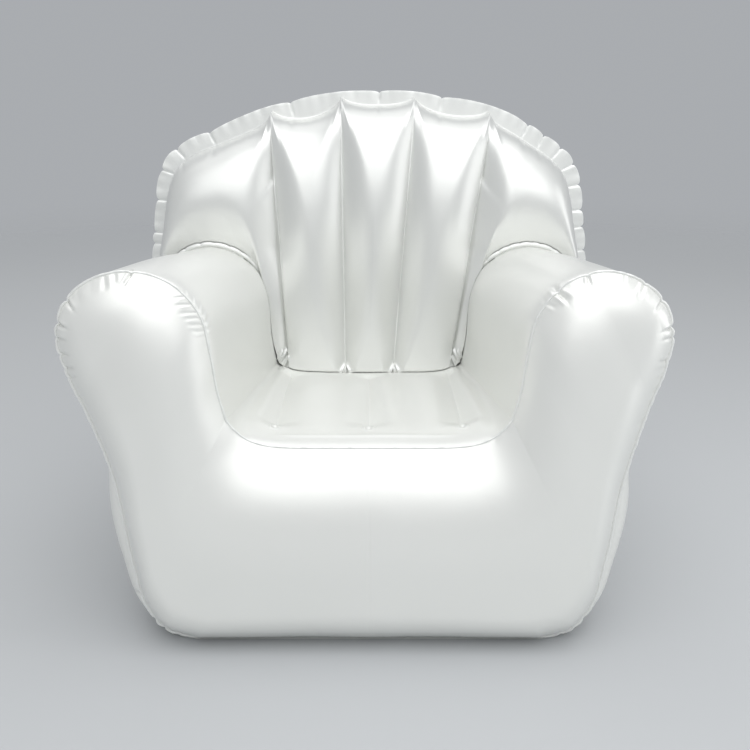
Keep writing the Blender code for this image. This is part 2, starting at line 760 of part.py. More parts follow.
def strip(name, lower, upper, tab_way, material, collection):
    """A strip between two lines of points, with a tab along each, turned to one side."""
    shares = np.linspace(0, 1, STRIP_ROWS + 1)[:, None, None]
    web = lower + (upper - lower) * shares
    rows = [(lower + tab_way * STRIP_TAB)[None], web, (upper + tab_way * STRIP_TAB)[None]]
    return sheet(name, np.concatenate(rows), material, collection)


def back_rib(name, side, foot_x, top, material, collection):
    """The strip behind one weld of the backrest, from the leaning surface to the rear one."""
    foot_z = seat_height(grown(REAR, FIN_WIDTH + FIN_CLEAR), foot_x)
    edge = np.array([(foot_x, foot_z)])
    floor = np.array([(floor_place(foot_x, foot_z, top), FLOOR_Z)])
    none = np.zeros(1)
    front = back_front_points(edge, np.array([top]), row_shares(BAND_ROWS), none)[:, 0]
    rear = back_rear_points(floor, np.array([top]), row_shares(REAR_ROWS), none)[:, 0]
    z = np.union1d(front[:, 2], rear[:, 2])
    z = z[(z > foot_z + BACK_STRIP_LOW) & (z < top[1] - BACK_STRIP_TOP)]
    x = np.interp(z, front[:, 2], front[:, 0]) * side
    front_y = np.interp(z, front[:, 2], front[:, 1]) + STRIP_SEAT
    rear_y = np.interp(z, rear[:, 2], rear[:, 1]) - STRIP_SEAT
    front = np.stack([x, front_y, z], axis=1)
    rear = np.stack([x, rear_y, z], axis=1)
    return strip(name, front, rear, np.array([side, 0, 0]), material, collection)


def seat_rib(name, x, column, material, collection):
    """The strip below one weld of the seat, from the sitting surface to the base sheet."""
    t = np.linspace(0, 1, SEAT_ROWS + 1)
    t = t[(t * SEAT_DEPTH > SEAT_WELD_FRONT) & (t * SEAT_DEPTH < SEAT_WELD_REAR)]
    upper = seat_point([column], t)[0][:, 0]
    upper[:, 0] = x
    upper[:, 2] -= STRIP_SEAT
    lower = upper.copy()
    lower[:, 2] = FLOOR_Z
    way = np.array([-1 if x < 0 else 1, 0, 0])
    return strip(name, lower, upper, way, material, collection)


# Valves


def turned(name, profile, closed, material, collection):
    """A solid turned about its own Z from a profile of radii and heights, outer side first."""
    mesh = bpy.data.meshes.new(name)
    count = len(profile)
    edges = [(k, k + 1) for k in range(count - 1)] + ([(count - 1, 0)] if closed else [])
    mesh.from_pydata([(r, 0, z) for r, z in profile], edges, [])
    mesh.materials.append(material)
    item = bpy.data.objects.new(name, mesh)
    collection.objects.link(item)
    screw = item.modifiers.new("Turn", "SCREW")
    screw.steps = TURN_STEPS
    screw.render_steps = TURN_STEPS
    screw.use_merge_vertices = True
    screw.merge_threshold = MERGE
    screw.use_smooth_shade = True
    return item


def valve_base(name, material, collection):
    top = 0
    low = -FLANGE_THICKNESS
    end = -SLEEVE_LENGTH
    bore = SLEEVE_RADIUS - SLEEVE_WALL
    profile = [
        (FLANGE_RADIUS - EDGE_ROUND, top),
        (FLANGE_RADIUS, top - EDGE_ROUND),
        (FLANGE_RADIUS, low),
        (SLEEVE_RADIUS, low),
        (SLEEVE_RADIUS, end),
        (bore, end),
        (bore, top - LIP_HEIGHT),
        (bore - SLEEVE_LIP, top - LIP_HEIGHT),
        (bore - SLEEVE_LIP, top),
    ]
    return turned(name, profile, True, material, collection)


def valve_stem(name, material, collection):
    rim = GAP + STEM_RIM_THICKNESS
    end = GAP - STEM_LENGTH
    bead = STEM_RADIUS + STEM_BEAD
    profile = [
        (STEM_RIM_RADIUS - EDGE_ROUND, rim),
        (STEM_RIM_RADIUS, rim - EDGE_ROUND),
        (STEM_RIM_RADIUS, GAP),
        (STEM_RADIUS, GAP),
        (STEM_RADIUS, end + BEAD_HEIGHT),
        (bead, end + BEAD_HEIGHT),
        (bead, end + EDGE_ROUND),
        (bead - EDGE_ROUND, end),
        (STEM_BORE, end),
        (STEM_BORE, rim),
    ]
    return turned(name, profile, True, material, collection)


def joined(item, other, collection):
    """The item with another solid joined to it, which stays as a hidden tool."""
    union = item.modifiers.new("Join", "BOOLEAN")
    union.operation = "UNION"
    union.object = other
    other.hide_render = True
    other.display_type = "WIRE"
    collection.objects.unlink(other)
    TOOLS.objects.link(other)


def bar(name, size, centre, collection):
    """A box of this size about this centre."""
    mesh = bpy.data.meshes.new(name)
    work = bmesh.new()
    bmesh.ops.create_cube(work, size=1)
    bmesh.ops.scale(work, vec=size, verts=work.verts)
    bmesh.ops.translate(work, vec=centre, verts=work.verts)
    work.to_mesh(mesh)
    work.free()
    item = bpy.data.objects.new(name, mesh)
    collection.objects.link(item)
    return item


def valve_plug(name, material, collection):
    low = 2 * GAP + STEM_RIM_THICKNESS
    top = low + PLUG_HEAD_THICKNESS
    radius = STEM_BORE - PLUG_CLEARANCE
    end = low - PLUG_LENGTH
    profile = [
        (0, top),
        (PLUG_HEAD_RADIUS - EDGE_ROUND, top),
        (PLUG_HEAD_RADIUS, top - EDGE_ROUND),
        (PLUG_HEAD_RADIUS, low),
        (radius, low),
        (radius, end + 2 * EDGE_ROUND),
        (radius - 2 * EDGE_ROUND, end),
        (0, end),
    ]
    plug = turned(name, profile, False, material, collection)
    size = (PLUG_TAB_LENGTH * 2, PLUG_TAB_WIDTH, PLUG_HEAD_THICKNESS - 2 * EDGE_ROUND)
    tab = bar(name + "_tab", size, (-PLUG_HEAD_RADIUS, 0, (low + top) / 2), collection)
    joined(plug, tab, collection)
    return plug


def valve_flap(name, material, collection):
    """The flap under the stem, on an empty at the outer end of its tongue, where it bends."""
    thick = FLAP_THICKNESS
    profile = [(0, 0), (FLAP_RADIUS, 0), (FLAP_RADIUS, -thick), (0, -thick)]
    flap = turned(name, profile, False, material, collection)
    size = (2 * FLAP_TONGUE_LENGTH, FLAP_TONGUE_WIDTH, thick - EDGE_ROUND)
    tongue = bar(name + "_tongue", size, (FLAP_RADIUS, 0, -thick / 2), collection)
    joined(flap, tongue, collection)
    bend = bpy.data.objects.new(name + "_bend", None)
    bend.location = (FLAP_RADIUS + FLAP_TONGUE_LENGTH, 0, -STEM_LENGTH)
    collection.objects.link(bend)
    for piece in (flap, tongue):
        piece.parent = bend
        piece.location = (-bend.location.x, 0, 0)
    return bend


def valve_tether(name, material, collection):
    """The strap from the stem's rim round to the plug's head."""
    low = GAP + STEM_RIM_THICKNESS / 2 + GAP
    high = 2 * GAP + STEM_RIM_THICKNESS + PLUG_HEAD_THICKNESS / 2 + GAP
    radius = (high - low) / 2
    centre = STEM_RIM_RADIUS + GAP + TETHER_REACH - radius
    turn = np.linspace(-math.pi / 2, math.pi / 2, BEND_STEPS + 1)
    bend = zip(centre + radius * np.cos(turn), low + radius + radius * np.sin(turn))
    points = [(STEM_RIM_RADIUS + GAP, low), *bend, (PLUG_HEAD_RADIUS + GAP, high)]
    curve = bpy.data.curves.new(name, "CURVE")
    curve.dimensions = "3D"
    curve.bevel_depth = TETHER_RADIUS
    curve.bevel_resolution = 1
    curve.use_fill_caps = True
    line = curve.splines.new("POLY")
    line.points.add(len(points) - 1)
    for point, (x, z) in zip(line.points, points):
        point.co = (x, 0, z, 1)
    curve.materials.append(material)
    item = bpy.data.objects.new(name, curve)
    collection.objects.link(item)
    return item


def cut_hole(panel, place, name):
    """The valve's hole through a panel's film."""
    mesh = bpy.data.meshes.new(name)
    work = bmesh.new()
    bmesh.ops.create_cone(
        work,
        cap_ends=True,
        segments=TURN_STEPS,
        radius1=HOLE_RADIUS,
        radius2=HOLE_RADIUS,
        depth=2 * HOLE_OVERRUN,
    )
    work.to_mesh(mesh)
    work.free()
    cutter = bpy.data.objects.new(name, mesh)
    cutter.matrix_world = place
    cutter.hide_render = True
    cutter.display_type = "WIRE"
    TOOLS.objects.link(cutter)
    cut = panel.modifiers.new("Valve hole", "BOOLEAN")
    cut.operation = "DIFFERENCE"
    cut.object = cutter


def placed_on(patch):
    """A frame on the middle of three by three points of a surface, +Z outwards and X level."""
    across = Vector(patch[1, 2] - patch[1, 0])
    along = Vector(patch[2, 1] - patch[0, 1])
    out = across.cross(along).normalized()
    up = Vector((0, 0, 1))
    right = up.cross(out).normalized()
    above = out.cross(right)
    centre = Vector(patch[1, 1]) + out * (FILM / 2 + GAP + FLANGE_THICKNESS)
    turn = Matrix((right, above, out)).transposed()
    return Matrix.Translation(centre) @ turn.to_4x4()


def valve(prefix, panel, place, materials, collection):
    """All the pieces of one valve, on an empty that stands on the film."""
    soft, clear = materials
    carrier = bpy.data.objects.new(prefix + "_place", None)
    collection.objects.link(carrier)
    carrier.matrix_world = place
    pieces = [
        valve_base(prefix + "_base", soft, collection),
        valve_stem(prefix + "_stem", soft, collection),
        valve_flap(prefix + "_flap", clear, collection),
        valve_plug(prefix + "_plug", soft, collection),
        valve_tether(prefix + "_tether", soft, collection),
    ]
    for piece in pieces:
        piece.parent = carrier
    bpy.data.objects[prefix + "_plug_tab"].parent = carrier
    cut_hole(panel, place, prefix + "_hole")
    return carrier


def back_valve_place():
    """On the rear panel's wing, low down and off to one side."""
    _, top, _, floor, _, shape = back_columns(REAR_WING_COLUMNS)
    column = int(round(REAR_WING_COLUMNS * BACK_VALVE_SHARE))
    pick = slice(column - 1, column + 2)
    t = BACK_VALVE_HEIGHT_SHARE + np.linspace(-1, 1, 3) / REAR_ROWS / 2
    return placed_on(back_rear_points(floor[pick], top[pick], t, shape[pick]))


def seat_valve_place():
    """On the outer side of the block, low down near its rear."""
    share = SEAT_VALVE_SHARE + VALVE_PATCH_SHARE * np.linspace(-2, 2, 5)
    t = SEAT_VALVE_DEPTH_SHARE + VALVE_PATCH_SHARE * np.linspace(-1, 1, 3)
    patch = flank_point(share, t)[0][:, 1:4]
    return placed_on(patch.transpose(1, 0, 2))


clear_scene()
CHAIR = new_collection("inflatable_armchair")
TOOLS = new_collection("cutters")
TOOLS.hide_render = True
PEARL = new_material("pearl_film", (0.88, 0.89, 0.88), 0.28)
BASE_FILM = new_material("base_film", (0.80, 0.81, 0.80), 0.45)
STRIP_FILM = new_material("strip_film", (0.78, 0.80, 0.80), 0.40, 0.6)
SOFT_PVC = new_material("soft_pvc", (0.82, 0.84, 0.84), 0.35)
CLEAR_PVC = new_material("clear_pvc", (0.85, 0.88, 0.90), 0.20, 0.5)

front_panel(PEARL, CHAIR)
arm_panel("left_arm_panel", -1, PEARL, CHAIR)
RIGHT_ARM = arm_panel("right_arm_panel", 1, PEARL, CHAIR)
seat_panel(PEARL, CHAIR)
backrest_front_panel(PEARL, CHAIR)
REAR_PANEL = backrest_rear_panel(PEARL, CHAIR)
base_panel(BASE_FILM, CHAIR)
RIBS = (
    (-1, OUTER_WELD_FOOT_X, OUTER_WELD_TOP),
    (-1, INNER_WELD_FOOT_X, INNER_WELD_TOP),
    (1, INNER_WELD_FOOT_X, INNER_WELD_TOP),
    (1, OUTER_WELD_FOOT_X, OUTER_WELD_TOP),
)
for number, (side, foot_x, top) in enumerate(RIBS, 1):
    back_rib(f"back_rib_{number}", side, foot_x, top, STRIP_FILM, CHAIR)
for number, (place, column) in enumerate(((-SEAT_WELD_X, 1), (0, 2), (SEAT_WELD_X, 1)), 1):
    seat_rib(f"seat_rib_{number}", place, column, STRIP_FILM, CHAIR)
valve("back_valve", REAR_PANEL, back_valve_place(), (SOFT_PVC, CLEAR_PVC), CHAIR)
valve("seat_valve", RIGHT_ARM, seat_valve_place(), (SOFT_PVC, CLEAR_PVC), CHAIR)
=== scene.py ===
import bpy
import math
import numpy as np
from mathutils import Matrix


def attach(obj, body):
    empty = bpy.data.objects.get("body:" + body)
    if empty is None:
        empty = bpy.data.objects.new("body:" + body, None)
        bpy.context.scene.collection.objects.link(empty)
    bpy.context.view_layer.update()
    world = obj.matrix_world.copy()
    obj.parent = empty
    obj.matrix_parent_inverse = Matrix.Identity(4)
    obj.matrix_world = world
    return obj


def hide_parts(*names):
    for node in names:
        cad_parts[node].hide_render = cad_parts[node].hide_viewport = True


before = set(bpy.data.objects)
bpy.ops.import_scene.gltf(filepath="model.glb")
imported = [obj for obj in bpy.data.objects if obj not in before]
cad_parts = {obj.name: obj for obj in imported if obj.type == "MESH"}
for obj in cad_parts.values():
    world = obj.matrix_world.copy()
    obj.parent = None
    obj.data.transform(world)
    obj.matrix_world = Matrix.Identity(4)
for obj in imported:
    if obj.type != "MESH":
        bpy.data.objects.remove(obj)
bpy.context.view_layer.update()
fine = 1.0  # fewer points while trying things
print("frame loaded:", len(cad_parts), "CAD nodes")

# camera, floor and lamps

cameraSet = {
    "lens": 1099 / 750 * 36,  # field of view of the photograph, on a 36 mm sensor
    "shift": 6 / 750,
    "place": (0.0, -2.304, 1.0714),
    "tilt": 90 - 15.994,
}
studioSet = {
    "floorColour": (0.495, 0.51, 0.525),
    "floorRoughness": 0.55,
    "floorShine": 0.3,
    "farColour": (0.40, 0.415, 0.435),  # what is seen behind the floor's soft edge, and mirrored in the film
    "airColour": (0.985, 0.995, 1.0),  # light from all round
    "airStrength": 0.69,
    "floorInner": 3.0,
    "floorOuter": 7.0,
    "floorGone": 0.98,
    "lamps": {
        # name: place, what it points at, width, height, watts
        "overhead": ((0.35, -2.6, 3.9), (0.0, -0.1, 0.4), 4.6, 5.2, 110),
        "ceiling": ((0.1, 0.5, 3.7), (0.0, 0.2, 0.5), 4.4, 2.4, 22),
        "window": ((2.6, -0.80, 1.20), (0.0, 0.0, 0.6), 1.4, 2.2, 11),
        "behind": ((-1.3, 3.6, 2.2), (0.0, 0.3, 0.5), 2.2, 1.8, 3),
    },
}


def addObject(name, data):
    item = bpy.data.objects.new(name, data)
    bpy.context.scene.collection.objects.link(item)
    return item


def aimed(item, place, target):
    # -Z turned along the line from its place to its target
    item.location = place
    way = np.array(target, float) - np.array(place, float)
    flat = math.hypot(way[0], way[1])
    item.rotation_euler = (math.atan2(flat, -way[2]), 0, math.atan2(-way[0], way[1]))


camera = addObject("camera", bpy.data.cameras.new("camera"))
camera.data.sensor_width = 36
camera.data.lens = cameraSet["lens"]
camera.data.shift_x = cameraSet["shift"]
camera.location = cameraSet["place"]
camera.rotation_euler = (math.radians(cameraSet["tilt"]), 0, 0)
bpy.context.scene.camera = camera

for lampName, (place, target, width, height, watts) in studioSet["lamps"].items():
    lamp = bpy.data.lights.new(lampName, "AREA")
    lamp.shape = "RECTANGLE"
    lamp.size = width
    lamp.size_y = height
    lamp.energy = watts
    aimed(addObject(lampName, lamp), place, target)


def feed(tree, node, values):
    # each value goes to its input: an output is linked to it, anything else is set on it
    for key, value in values.items():
        if isinstance(value, bpy.types.NodeSocket):
            tree.links.new(value, node.inputs[key])
        else:
            node.inputs[key].default_value = value


def addNode(tree, kind, values=None, output=0, **settings):
    # gives back one of the new node's outputs
    node = tree.nodes.new("ShaderNode" + kind)
    for key, value in settings.items():
        setattr(node, key, value)
    feed(tree, node, values or {})
    return node.outputs[output]


def newLook(name):
    look = bpy.data.materials.new(name)
    look.use_nodes = True
    return look, look.node_tree, look.node_tree.nodes["Principled BSDF"]


def opaque(colour):
    return (*colour, 1)


world = bpy.data.worlds.new("air")
world.use_nodes = True
bpy.context.scene.world = world
bpy.context.scene.view_settings.view_transform = "Standard"
air = world.node_tree
nearLight = air.nodes["Background"]
feed(air, nearLight, {"Color": opaque(studioSet["airColour"]), "Strength": studioSet["airStrength"]})
farLight = addNode(air, "Background", {"Color": opaque(studioSet["farColour"]), "Strength": 1.0})
straight = addNode(air, "LightPath", output="Is Camera Ray")
mirrored = addNode(air, "LightPath", output="Is Glossy Ray")
either = addNode(air, "Math", {0: straight, 1: mirrored}, operation="MAXIMUM")
sky = addNode(air, "MixShader", {0: either, 1: nearLight.outputs[0], 2: farLight})
feed(air, air.nodes["World Output"], {"Surface": sky})

floorMesh = bpy.data.meshes.new("floor")
turn = np.linspace(0, 2 * math.pi, 96, endpoint=False)
rim = np.stack([np.cos(turn), np.sin(turn), 0 * turn], axis=1) * studioSet["floorOuter"]
floorMesh.from_pydata(rim.tolist(), [], [tuple(range(len(rim)))])
floor = addObject("floor", floorMesh)
floorLook, tree, matt = newLook("floorLook")
feed(tree, matt, {"Base Color": opaque(studioSet["floorColour"]), "Roughness": studioSet["floorRoughness"],
                  "Specular IOR Level": studioSet["floorShine"]})
away = addNode(tree, "VectorMath", {0: addNode(tree, "TexCoord", output="Object")}, "Value", operation="LENGTH")
fade = addNode(tree, "MapRange", {"Value": away, "From Min": studioSet["floorInner"],
                                  "From Max": studioSet["floorOuter"] * studioSet["floorGone"]},
               interpolation_type="SMOOTHSTEP")
blend = addNode(tree, "MixShader", {0: fade, 1: matt.outputs[0], 2: addNode(tree, "BsdfTransparent")})
feed(tree, tree.nodes["Material Output"], {"Surface": blend})
floorMesh.materials.append(floorLook)
print("camera, floor and lamps set")

# film and moulded plastic

filmSet = {
    "light": (0.872, 0.878, 0.850),  # the pearl's two close tints
    "dark": (0.842, 0.850, 0.820),
    "weldTintAndPaintedLight": (0.880, 0.890, 0.868),  # where two films are fused, a little lighter: partly the fused film's own tone, partly painted light for light shining through the thin flange
    "metal": 0.42,
    "roughness": 0.37,
    "uneven": 0.03,
    "weldRoughness": 0.42,
    "coat": 0.30,
    "coatRoughness": 0.28,
    "cloudScale": 5.0,
    "dentScale": 9.0,
    "dentHeight": 0.0009,
    "flakeScale": 900.0,
    "flakeHeight": 0.00004,
}


def noise(tree, place, scale, detail):
    return addNode(tree, "TexNoise", {"Vector": place, "Scale": scale, "Detail": detail}, "Fac")


def mixed(tree, share, first, second):
    return addNode(tree, "Mix", {0: share, 6: first, 7: second}, 2, data_type="RGBA")


def filmMaterial(name, k):
    # pearl pigment: two tints by slow noise, roughness by the same, a fine flake and slow dents as bump
    look, tree, shader = newLook(name)
    place = addNode(tree, "TexCoord", output="Object")
    weld = addNode(tree, "Attribute", output="Fac", attribute_name="weld")
    cloud = noise(tree, place, k["cloudScale"], 3.0)
    tint = mixed(tree, cloud, opaque(k["dark"]), opaque(k["light"]))
    gloss = addNode(tree, "MapRange", {"Value": cloud, "To Min": k["roughness"] - k["uneven"],
                                       "To Max": k["roughness"] + k["uneven"]})
    slow = addNode(tree, "Bump", {"Distance": k["dentHeight"], "Height": noise(tree, place, k["dentScale"], 2.0)})
    flake = noise(tree, place, k["flakeScale"], 1.0)
    feed(tree, shader, {
        # fins, flanges and weld lines painted lighter: partly their fused film's own tone, partly painted light for
        # light through the thin flange
        "Base Color": mixed(tree, weld, tint, opaque(k["weldTintAndPaintedLight"])),
        "Metallic": k["metal"],
        "Roughness": addNode(tree, "Mix", {0: weld, 2: gloss, 3: k["weldRoughness"]}, data_type="FLOAT"),
        "Coat Weight": k["coat"],
        "Coat Roughness": k["coatRoughness"],
        "Normal": addNode(tree, "Bump", {"Distance": k["flakeHeight"], "Height": flake, "Normal": slow}),
    })
    return look


pearlFilm = filmMaterial("pearlFilm", filmSet)
# painted shade: the same pearl film made darker, with more of its gloss as metal, for the backrest that sits deep
# between the arms; used on its front and rear films
paintedShadeBackFilm = filmMaterial("paintedShadeBackFilm", {**filmSet, "light": (0.800, 0.808, 0.786), "dark": (0.770, 0.780, 0.758),
                                     "metal": 0.56})
baseFilm = filmMaterial("baseFilm", {**filmSet, "light": (0.80, 0.81, 0.80), "dark": (0.77, 0.78, 0.77),
                                     "metal": 0.0, "roughness": 0.5, "coat": 0.05})
stripFilm = filmMaterial("stripFilm", {**filmSet, "light": (0.78, 0.80, 0.80), "dark": (0.74, 0.77, 0.76),
                                       "metal": 0.0, "roughness": 0.45, "coat": 0.1})

mouldedSet = {
    "colour": (0.82, 0.84, 0.84),
    "darker": 0.96,
    "alpha": 1.0,
    "roughness": 0.34,
    "smoother": 0.05,
    "rougher": 0.06,
    "mottleScale": 120.0,
    "grainScale": 1400.0,
    "grainHeight": 0.00002,
}


def mouldedMaterial(name, k):
    # soft moulded plastic: one colour, a fine grain as bump, a little mottling in the gloss
    look, tree, shader = newLook(name)
    place = addNode(tree, "TexCoord", output="Object")
    mottle = noise(tree, place, k["mottleScale"], 2.0)
    shade = [v * k["darker"] for v in k["colour"]]
    gloss = {"Value": mottle, "To Min": k["roughness"] - k["smoother"], "To Max": k["roughness"] + k["rougher"]}
    grain = {"Distance": k["grainHeight"], "Height": noise(tree, place, k["grainScale"], 2.0)}
    feed(tree, shader, {
        "Base Color": mixed(tree, mottle, opaque(shade), opaque(k["colour"])),
        "Roughness": addNode(tree, "MapRange", gloss),
        "Alpha": k["alpha"],
        "Normal": addNode(tree, "Bump", grain),
    })
    return look


softPvc = mouldedMaterial("softPvc", mouldedSet)
clearPvc = mouldedMaterial("clearPvc", {**mouldedSet, "colour": (0.85, 0.88, 0.90), "roughness": 0.15, "alpha": 0.55})
print("materials made")

# the chair's outlines, in metres

chairSize = {
    "width": 1.11,
    "depth": 0.92,
    "height": 1.002,
    "armHeight": 0.714,
    "armRearHeight": 0.660,
    "armTaper": 0.081,
    "seatWidth": 0.524,
    "seatRearWidth": 0.424,
    "seatHeight": 0.386,
    "seatRearHeight": 0.357,
    "creaseRise": 0.054,
    "creaseRearRise": 0.031,
    "creasePower": 7.5,
    "seatDepth": 0.595,
    "frontCrown": 0.056,
    "finRoom": 0.006,
    "skinGap": 0.00035,
    "low": 0.0009,
    "rimLow": 0.0005,
}
seamY = chairSize["frontCrown"] - chairSize["depth"] / 2
wallY = seamY + chairSize["seatDepth"]
rearY = chairSize["depth"] / 2
gap = chairSize["skinGap"]
low = chairSize["low"]


def lengthsOf(curve):
    # running length along a line of points
    return np.concatenate([[0], np.cumsum(np.linalg.norm(np.diff(curve, axis=0), axis=1))])


def smoothCurve(points, steps=60):
    # cubic between neighbours, each point's slope along the chord between the ones beside it
    points = np.array(points, float)
    knots = lengthsOf(points)
    slopes = np.gradient(points, knots, axis=0)
    u = np.arange(steps)[None, :, None] / steps
    span = np.diff(knots)[:, None, None]
    a, b, sa, sb = points[:-1, None], points[1:, None], slopes[:-1, None], slopes[1:, None]
    run = (2 * u**3 - 3 * u**2 + 1) * a + (u**3 - 2 * u**2 + u) * span * sa
    run = run + (3 * u**2 - 2 * u**3) * b + (u**3 - u**2) * span * sb
    return np.concatenate([run.reshape(-1, points.shape[1]), points[-1:]])


def spaced(curve, shares):
    # the points at these shares of the line's length
    along = lengthsOf(curve)
    wanted = np.asarray(shares) * along[-1]
    return np.stack([np.interp(wanted, along, curve[:, k]) for k in range(curve.shape[1])], axis=-1)


def normalsOf(curve):
    # square to the line, on its left as it runs
    run = np.gradient(curve, axis=0)
    run /= np.linalg.norm(run, axis=1, keepdims=True)
    return np.stack([run[:, 1], -run[:, 0]], axis=1)


def ease(share):
    # 0 to 1 in an S
    share = np.clip(share, 0, 1)
    return share * share * (3 - 2 * share)


def swell(share, power=2.4):
    # a pillow's height across it, 0 at both edges and 1 in the middle
    return np.clip(1 - np.abs(2 * share - 1) ** power, 0, 1) ** (1 / power)


def bell(distance, width, power=2):
    # e^-|distance / width|^power
    return np.exp(-(np.abs(distance / width) ** power))


def crowded(count):
    # shares from 0 to 1, close together at both ends
    return (1 - np.cos(np.linspace(0, np.pi, int(count) + 1))) / 2


def placed(flat, y):
    # points in space from their places across and up, and their depths
    return np.stack([flat[..., 0], np.broadcast_to(y, flat.shape[:-1]), flat[..., 1]], axis=-1)


def blockY(t):
    # from the front seam (t 0) to the wall behind seat and arms (t 1)
    return seamY + gap + (chairSize["seatDepth"] - 2 * gap) * t


def between(start, end, shares):
    return [(start[0] + (end[0] - start[0]) * u, start[1] + (end[1] - start[1]) * v) for u, v in shares]


def sized(k, armX, seatX, topZ, seatZ, creaseRise):
    # across: shares of the arm's widest place or of the arm's width; up: shares of the arm's height
    creaseZ = seatZ + creaseRise
    return {
        "foot": (armX * k["foot"], low),
        "side": (armX * k["side"][0], topZ * k["side"][1]),
        "waist": (armX * k["waist"][0], topZ * k["waist"][1]),
        "arm": (armX, topZ * k["arm"]),
        "top": (seatX + (armX - seatX) * k["top"], topZ),
        "inner": (seatX + (armX - seatX) * k["inner"][0], creaseZ + (topZ - creaseZ) * k["inner"][1]),
        "crease": (seatX, creaseZ),
        "seatZ": seatZ,
    }


frontShares = {"foot": 0.601, "side": (0.807, 0.217), "waist": (0.860, 0.476), "arm": 0.840, "top": 0.544,
               "inner": (0.084, 0.456)}
rearShares = {"foot": 0.752, "side": (0.872, 0.197), "waist": (0.923, 0.455), "arm": 0.833, "top": 0.617,
              "inner": (0.137, 0.632)}
frontArmX = chairSize["width"] / 2 - chairSize["finRoom"]
rearArmX = frontArmX - chairSize["armTaper"]
frontSection = sized(frontShares, frontArmX, chairSize["seatWidth"] / 2, chairSize["armHeight"],
                     chairSize["seatHeight"], chairSize["creaseRise"])
rearSection = sized(rearShares, rearArmX, chairSize["seatRearWidth"] / 2, chairSize["armRearHeight"],
                    chairSize["seatRearHeight"], chairSize["creaseRearRise"])


def grown(k, by):
    # the section's outline moved outwards
    moves = {"foot": (by, 0), "side": (by, 0), "waist": (by, 0), "arm": (by, 0), "top": (0, by),
             "inner": (-by, 0), "crease": (-by, by)}
    section = {spot: (k[spot][0] + right, k[spot][1] + up) for spot, (right, up) in moves.items()}
    return {**section, "seatZ": k["seatZ"] + by}


def armOutline(k):
    # floor, up the side, round the arm's top in two quarter ellipses, down to the crease
    (armX, armZ), (topX, topZ), (innerX, innerZ) = k["arm"], k["top"], k["inner"]
    turns = [(math.cos(a), math.sin(a)) for a in (math.pi / 6, math.pi / 3)]
    return smoothCurve([
        k["foot"],
        *between(k["foot"], k["side"], ((0.54, 0.14), (0.83, 0.45))),
        k["side"],
        k["waist"],
        *between(k["waist"], k["arm"], ((0.49, 0.47), (0.89, 0.79))),
        k["arm"],
        *[(topX + (armX - topX) * c, armZ + (topZ - armZ) * h) for c, h in turns],
        k["top"],
        *[(topX - (topX - innerX) * c, innerZ + (topZ - innerZ) * h) for c, h in turns[::-1]],
        k["inner"],
        *between(k["inner"], k["crease"], ((0.46, 0.60),)),
        k["crease"],
    ])


def seatHeight(k, x):
    # level in the middle, rising in a fillet to the crease
    return k["seatZ"] + (k["crease"][1] - k["seatZ"]) * np.abs(x / k["crease"][0]) ** chairSize["creasePower"]


def seatOutline(k, steps=240):
    x = np.linspace(k["crease"][0], 0, steps)
    return np.stack([x, seatHeight(k, x)], axis=1)


def nearestOn(curve, spot):
    # number of the line's point nearest to a place
    return int(np.argmin(np.hypot(curve[:, 0] - spot[0], curve[:, 1] - spot[1])))


def placeOf(curve, spot):
    # the running length at which the line passes nearest to a place
    return lengthsOf(curve)[nearestOn(curve, spot)]


frontArm = armOutline(frontSection)
rearArm = armOutline(rearSection)
armLength = lengthsOf(frontArm)[-1]

# folds, fins and petals, shared by the pieces

foldSet = {
    "round": 0.3,  # of a pleat's valley
    "crest": (2.1, 1.1, 0.38),  # beside a pleat, in its widths: off, width, height
    "pleatOpens": 1.8,
    "creaseCrests": ((1.9, 0.8), (-2.0, 0.3)),  # beside a crease: off, height
    "creasePowers": (1.5, 1.6),
    "creaseOpens": 0.5,
    "creaseEven": 0.45,
    "seamFade": 0.004,
    "pullReach": 0.020,  # how far a drawn-in seam pulls the film with it
}


def seamPlace(points, seam):
    # for each point, the running length of the nearest place on the seam and the distance to it
    along = lengthsOf(seam)
    way = np.gradient(seam, along, axis=0)
    flat = points.reshape(-1, points.shape[-1])
    runs, gaps = [], []
    for block in np.array_split(flat, max(1, len(flat) // 8000)):
        square = (block**2).sum(1)[:, None] - 2 * block @ seam.T + (seam**2).sum(1)[None]
        near = square.argmin(axis=1)
        off = block - seam[near]
        step = (off * way[near]).sum(1)
        runs.append(along[near] + step)
        gaps.append(np.sqrt(np.clip((off**2).sum(1) - step**2, 0, None)))
    shape = points.shape[:-1]
    return np.concatenate(runs).reshape(shape), np.concatenate(gaps).reshape(shape)


def gathers(length, strength, seed, spacing=0.019, depth=0.0022, reach=0.030):
    # folds at uneven steps along a seam; strength is pairs of running length and share of the full depth
    rng = np.random.default_rng(seed)
    places = np.cumsum(spacing * rng.uniform(0.5, 1.7, int(2 * length / spacing)))
    places = places[places < length]
    size = rng.uniform(0.25, 1, len(places)) ** 1.3
    size = size * np.interp(places, [p for p, _ in strength], [v for _, v in strength])
    width = 0.0034 + 0.0030 * rng.uniform(0, 1, len(places))
    slant = rng.uniform(-0.35, 0.35, len(places))
    return np.stack([places, depth * size, width, reach * (0.55 + 0.9 * size), slant], axis=1)


def pleats(s, d, folds):
    # sum of valleys square to the seam: depth · e^-|across / width| with a round crest on each side,
    # wider and shallower with the distance from the seam
    total = np.zeros(np.broadcast(s, d).shape)
    off, wide, tall = foldSet["crest"]
    for place, depth, width, reach, slant in folds:
        share = np.clip(d / reach, 0, 1)
        across = (s - place - slant * d) / (width * (1 + foldSet["pleatOpens"] * share))
        valley = np.exp(foldSet["round"] - np.sqrt(across**2 + foldSet["round"] ** 2))
        crest = tall * bell(np.abs(across) - off, wide)
        total += depth * (1 - share) ** 2 * (1 + share) * (crest - valley)
    return total


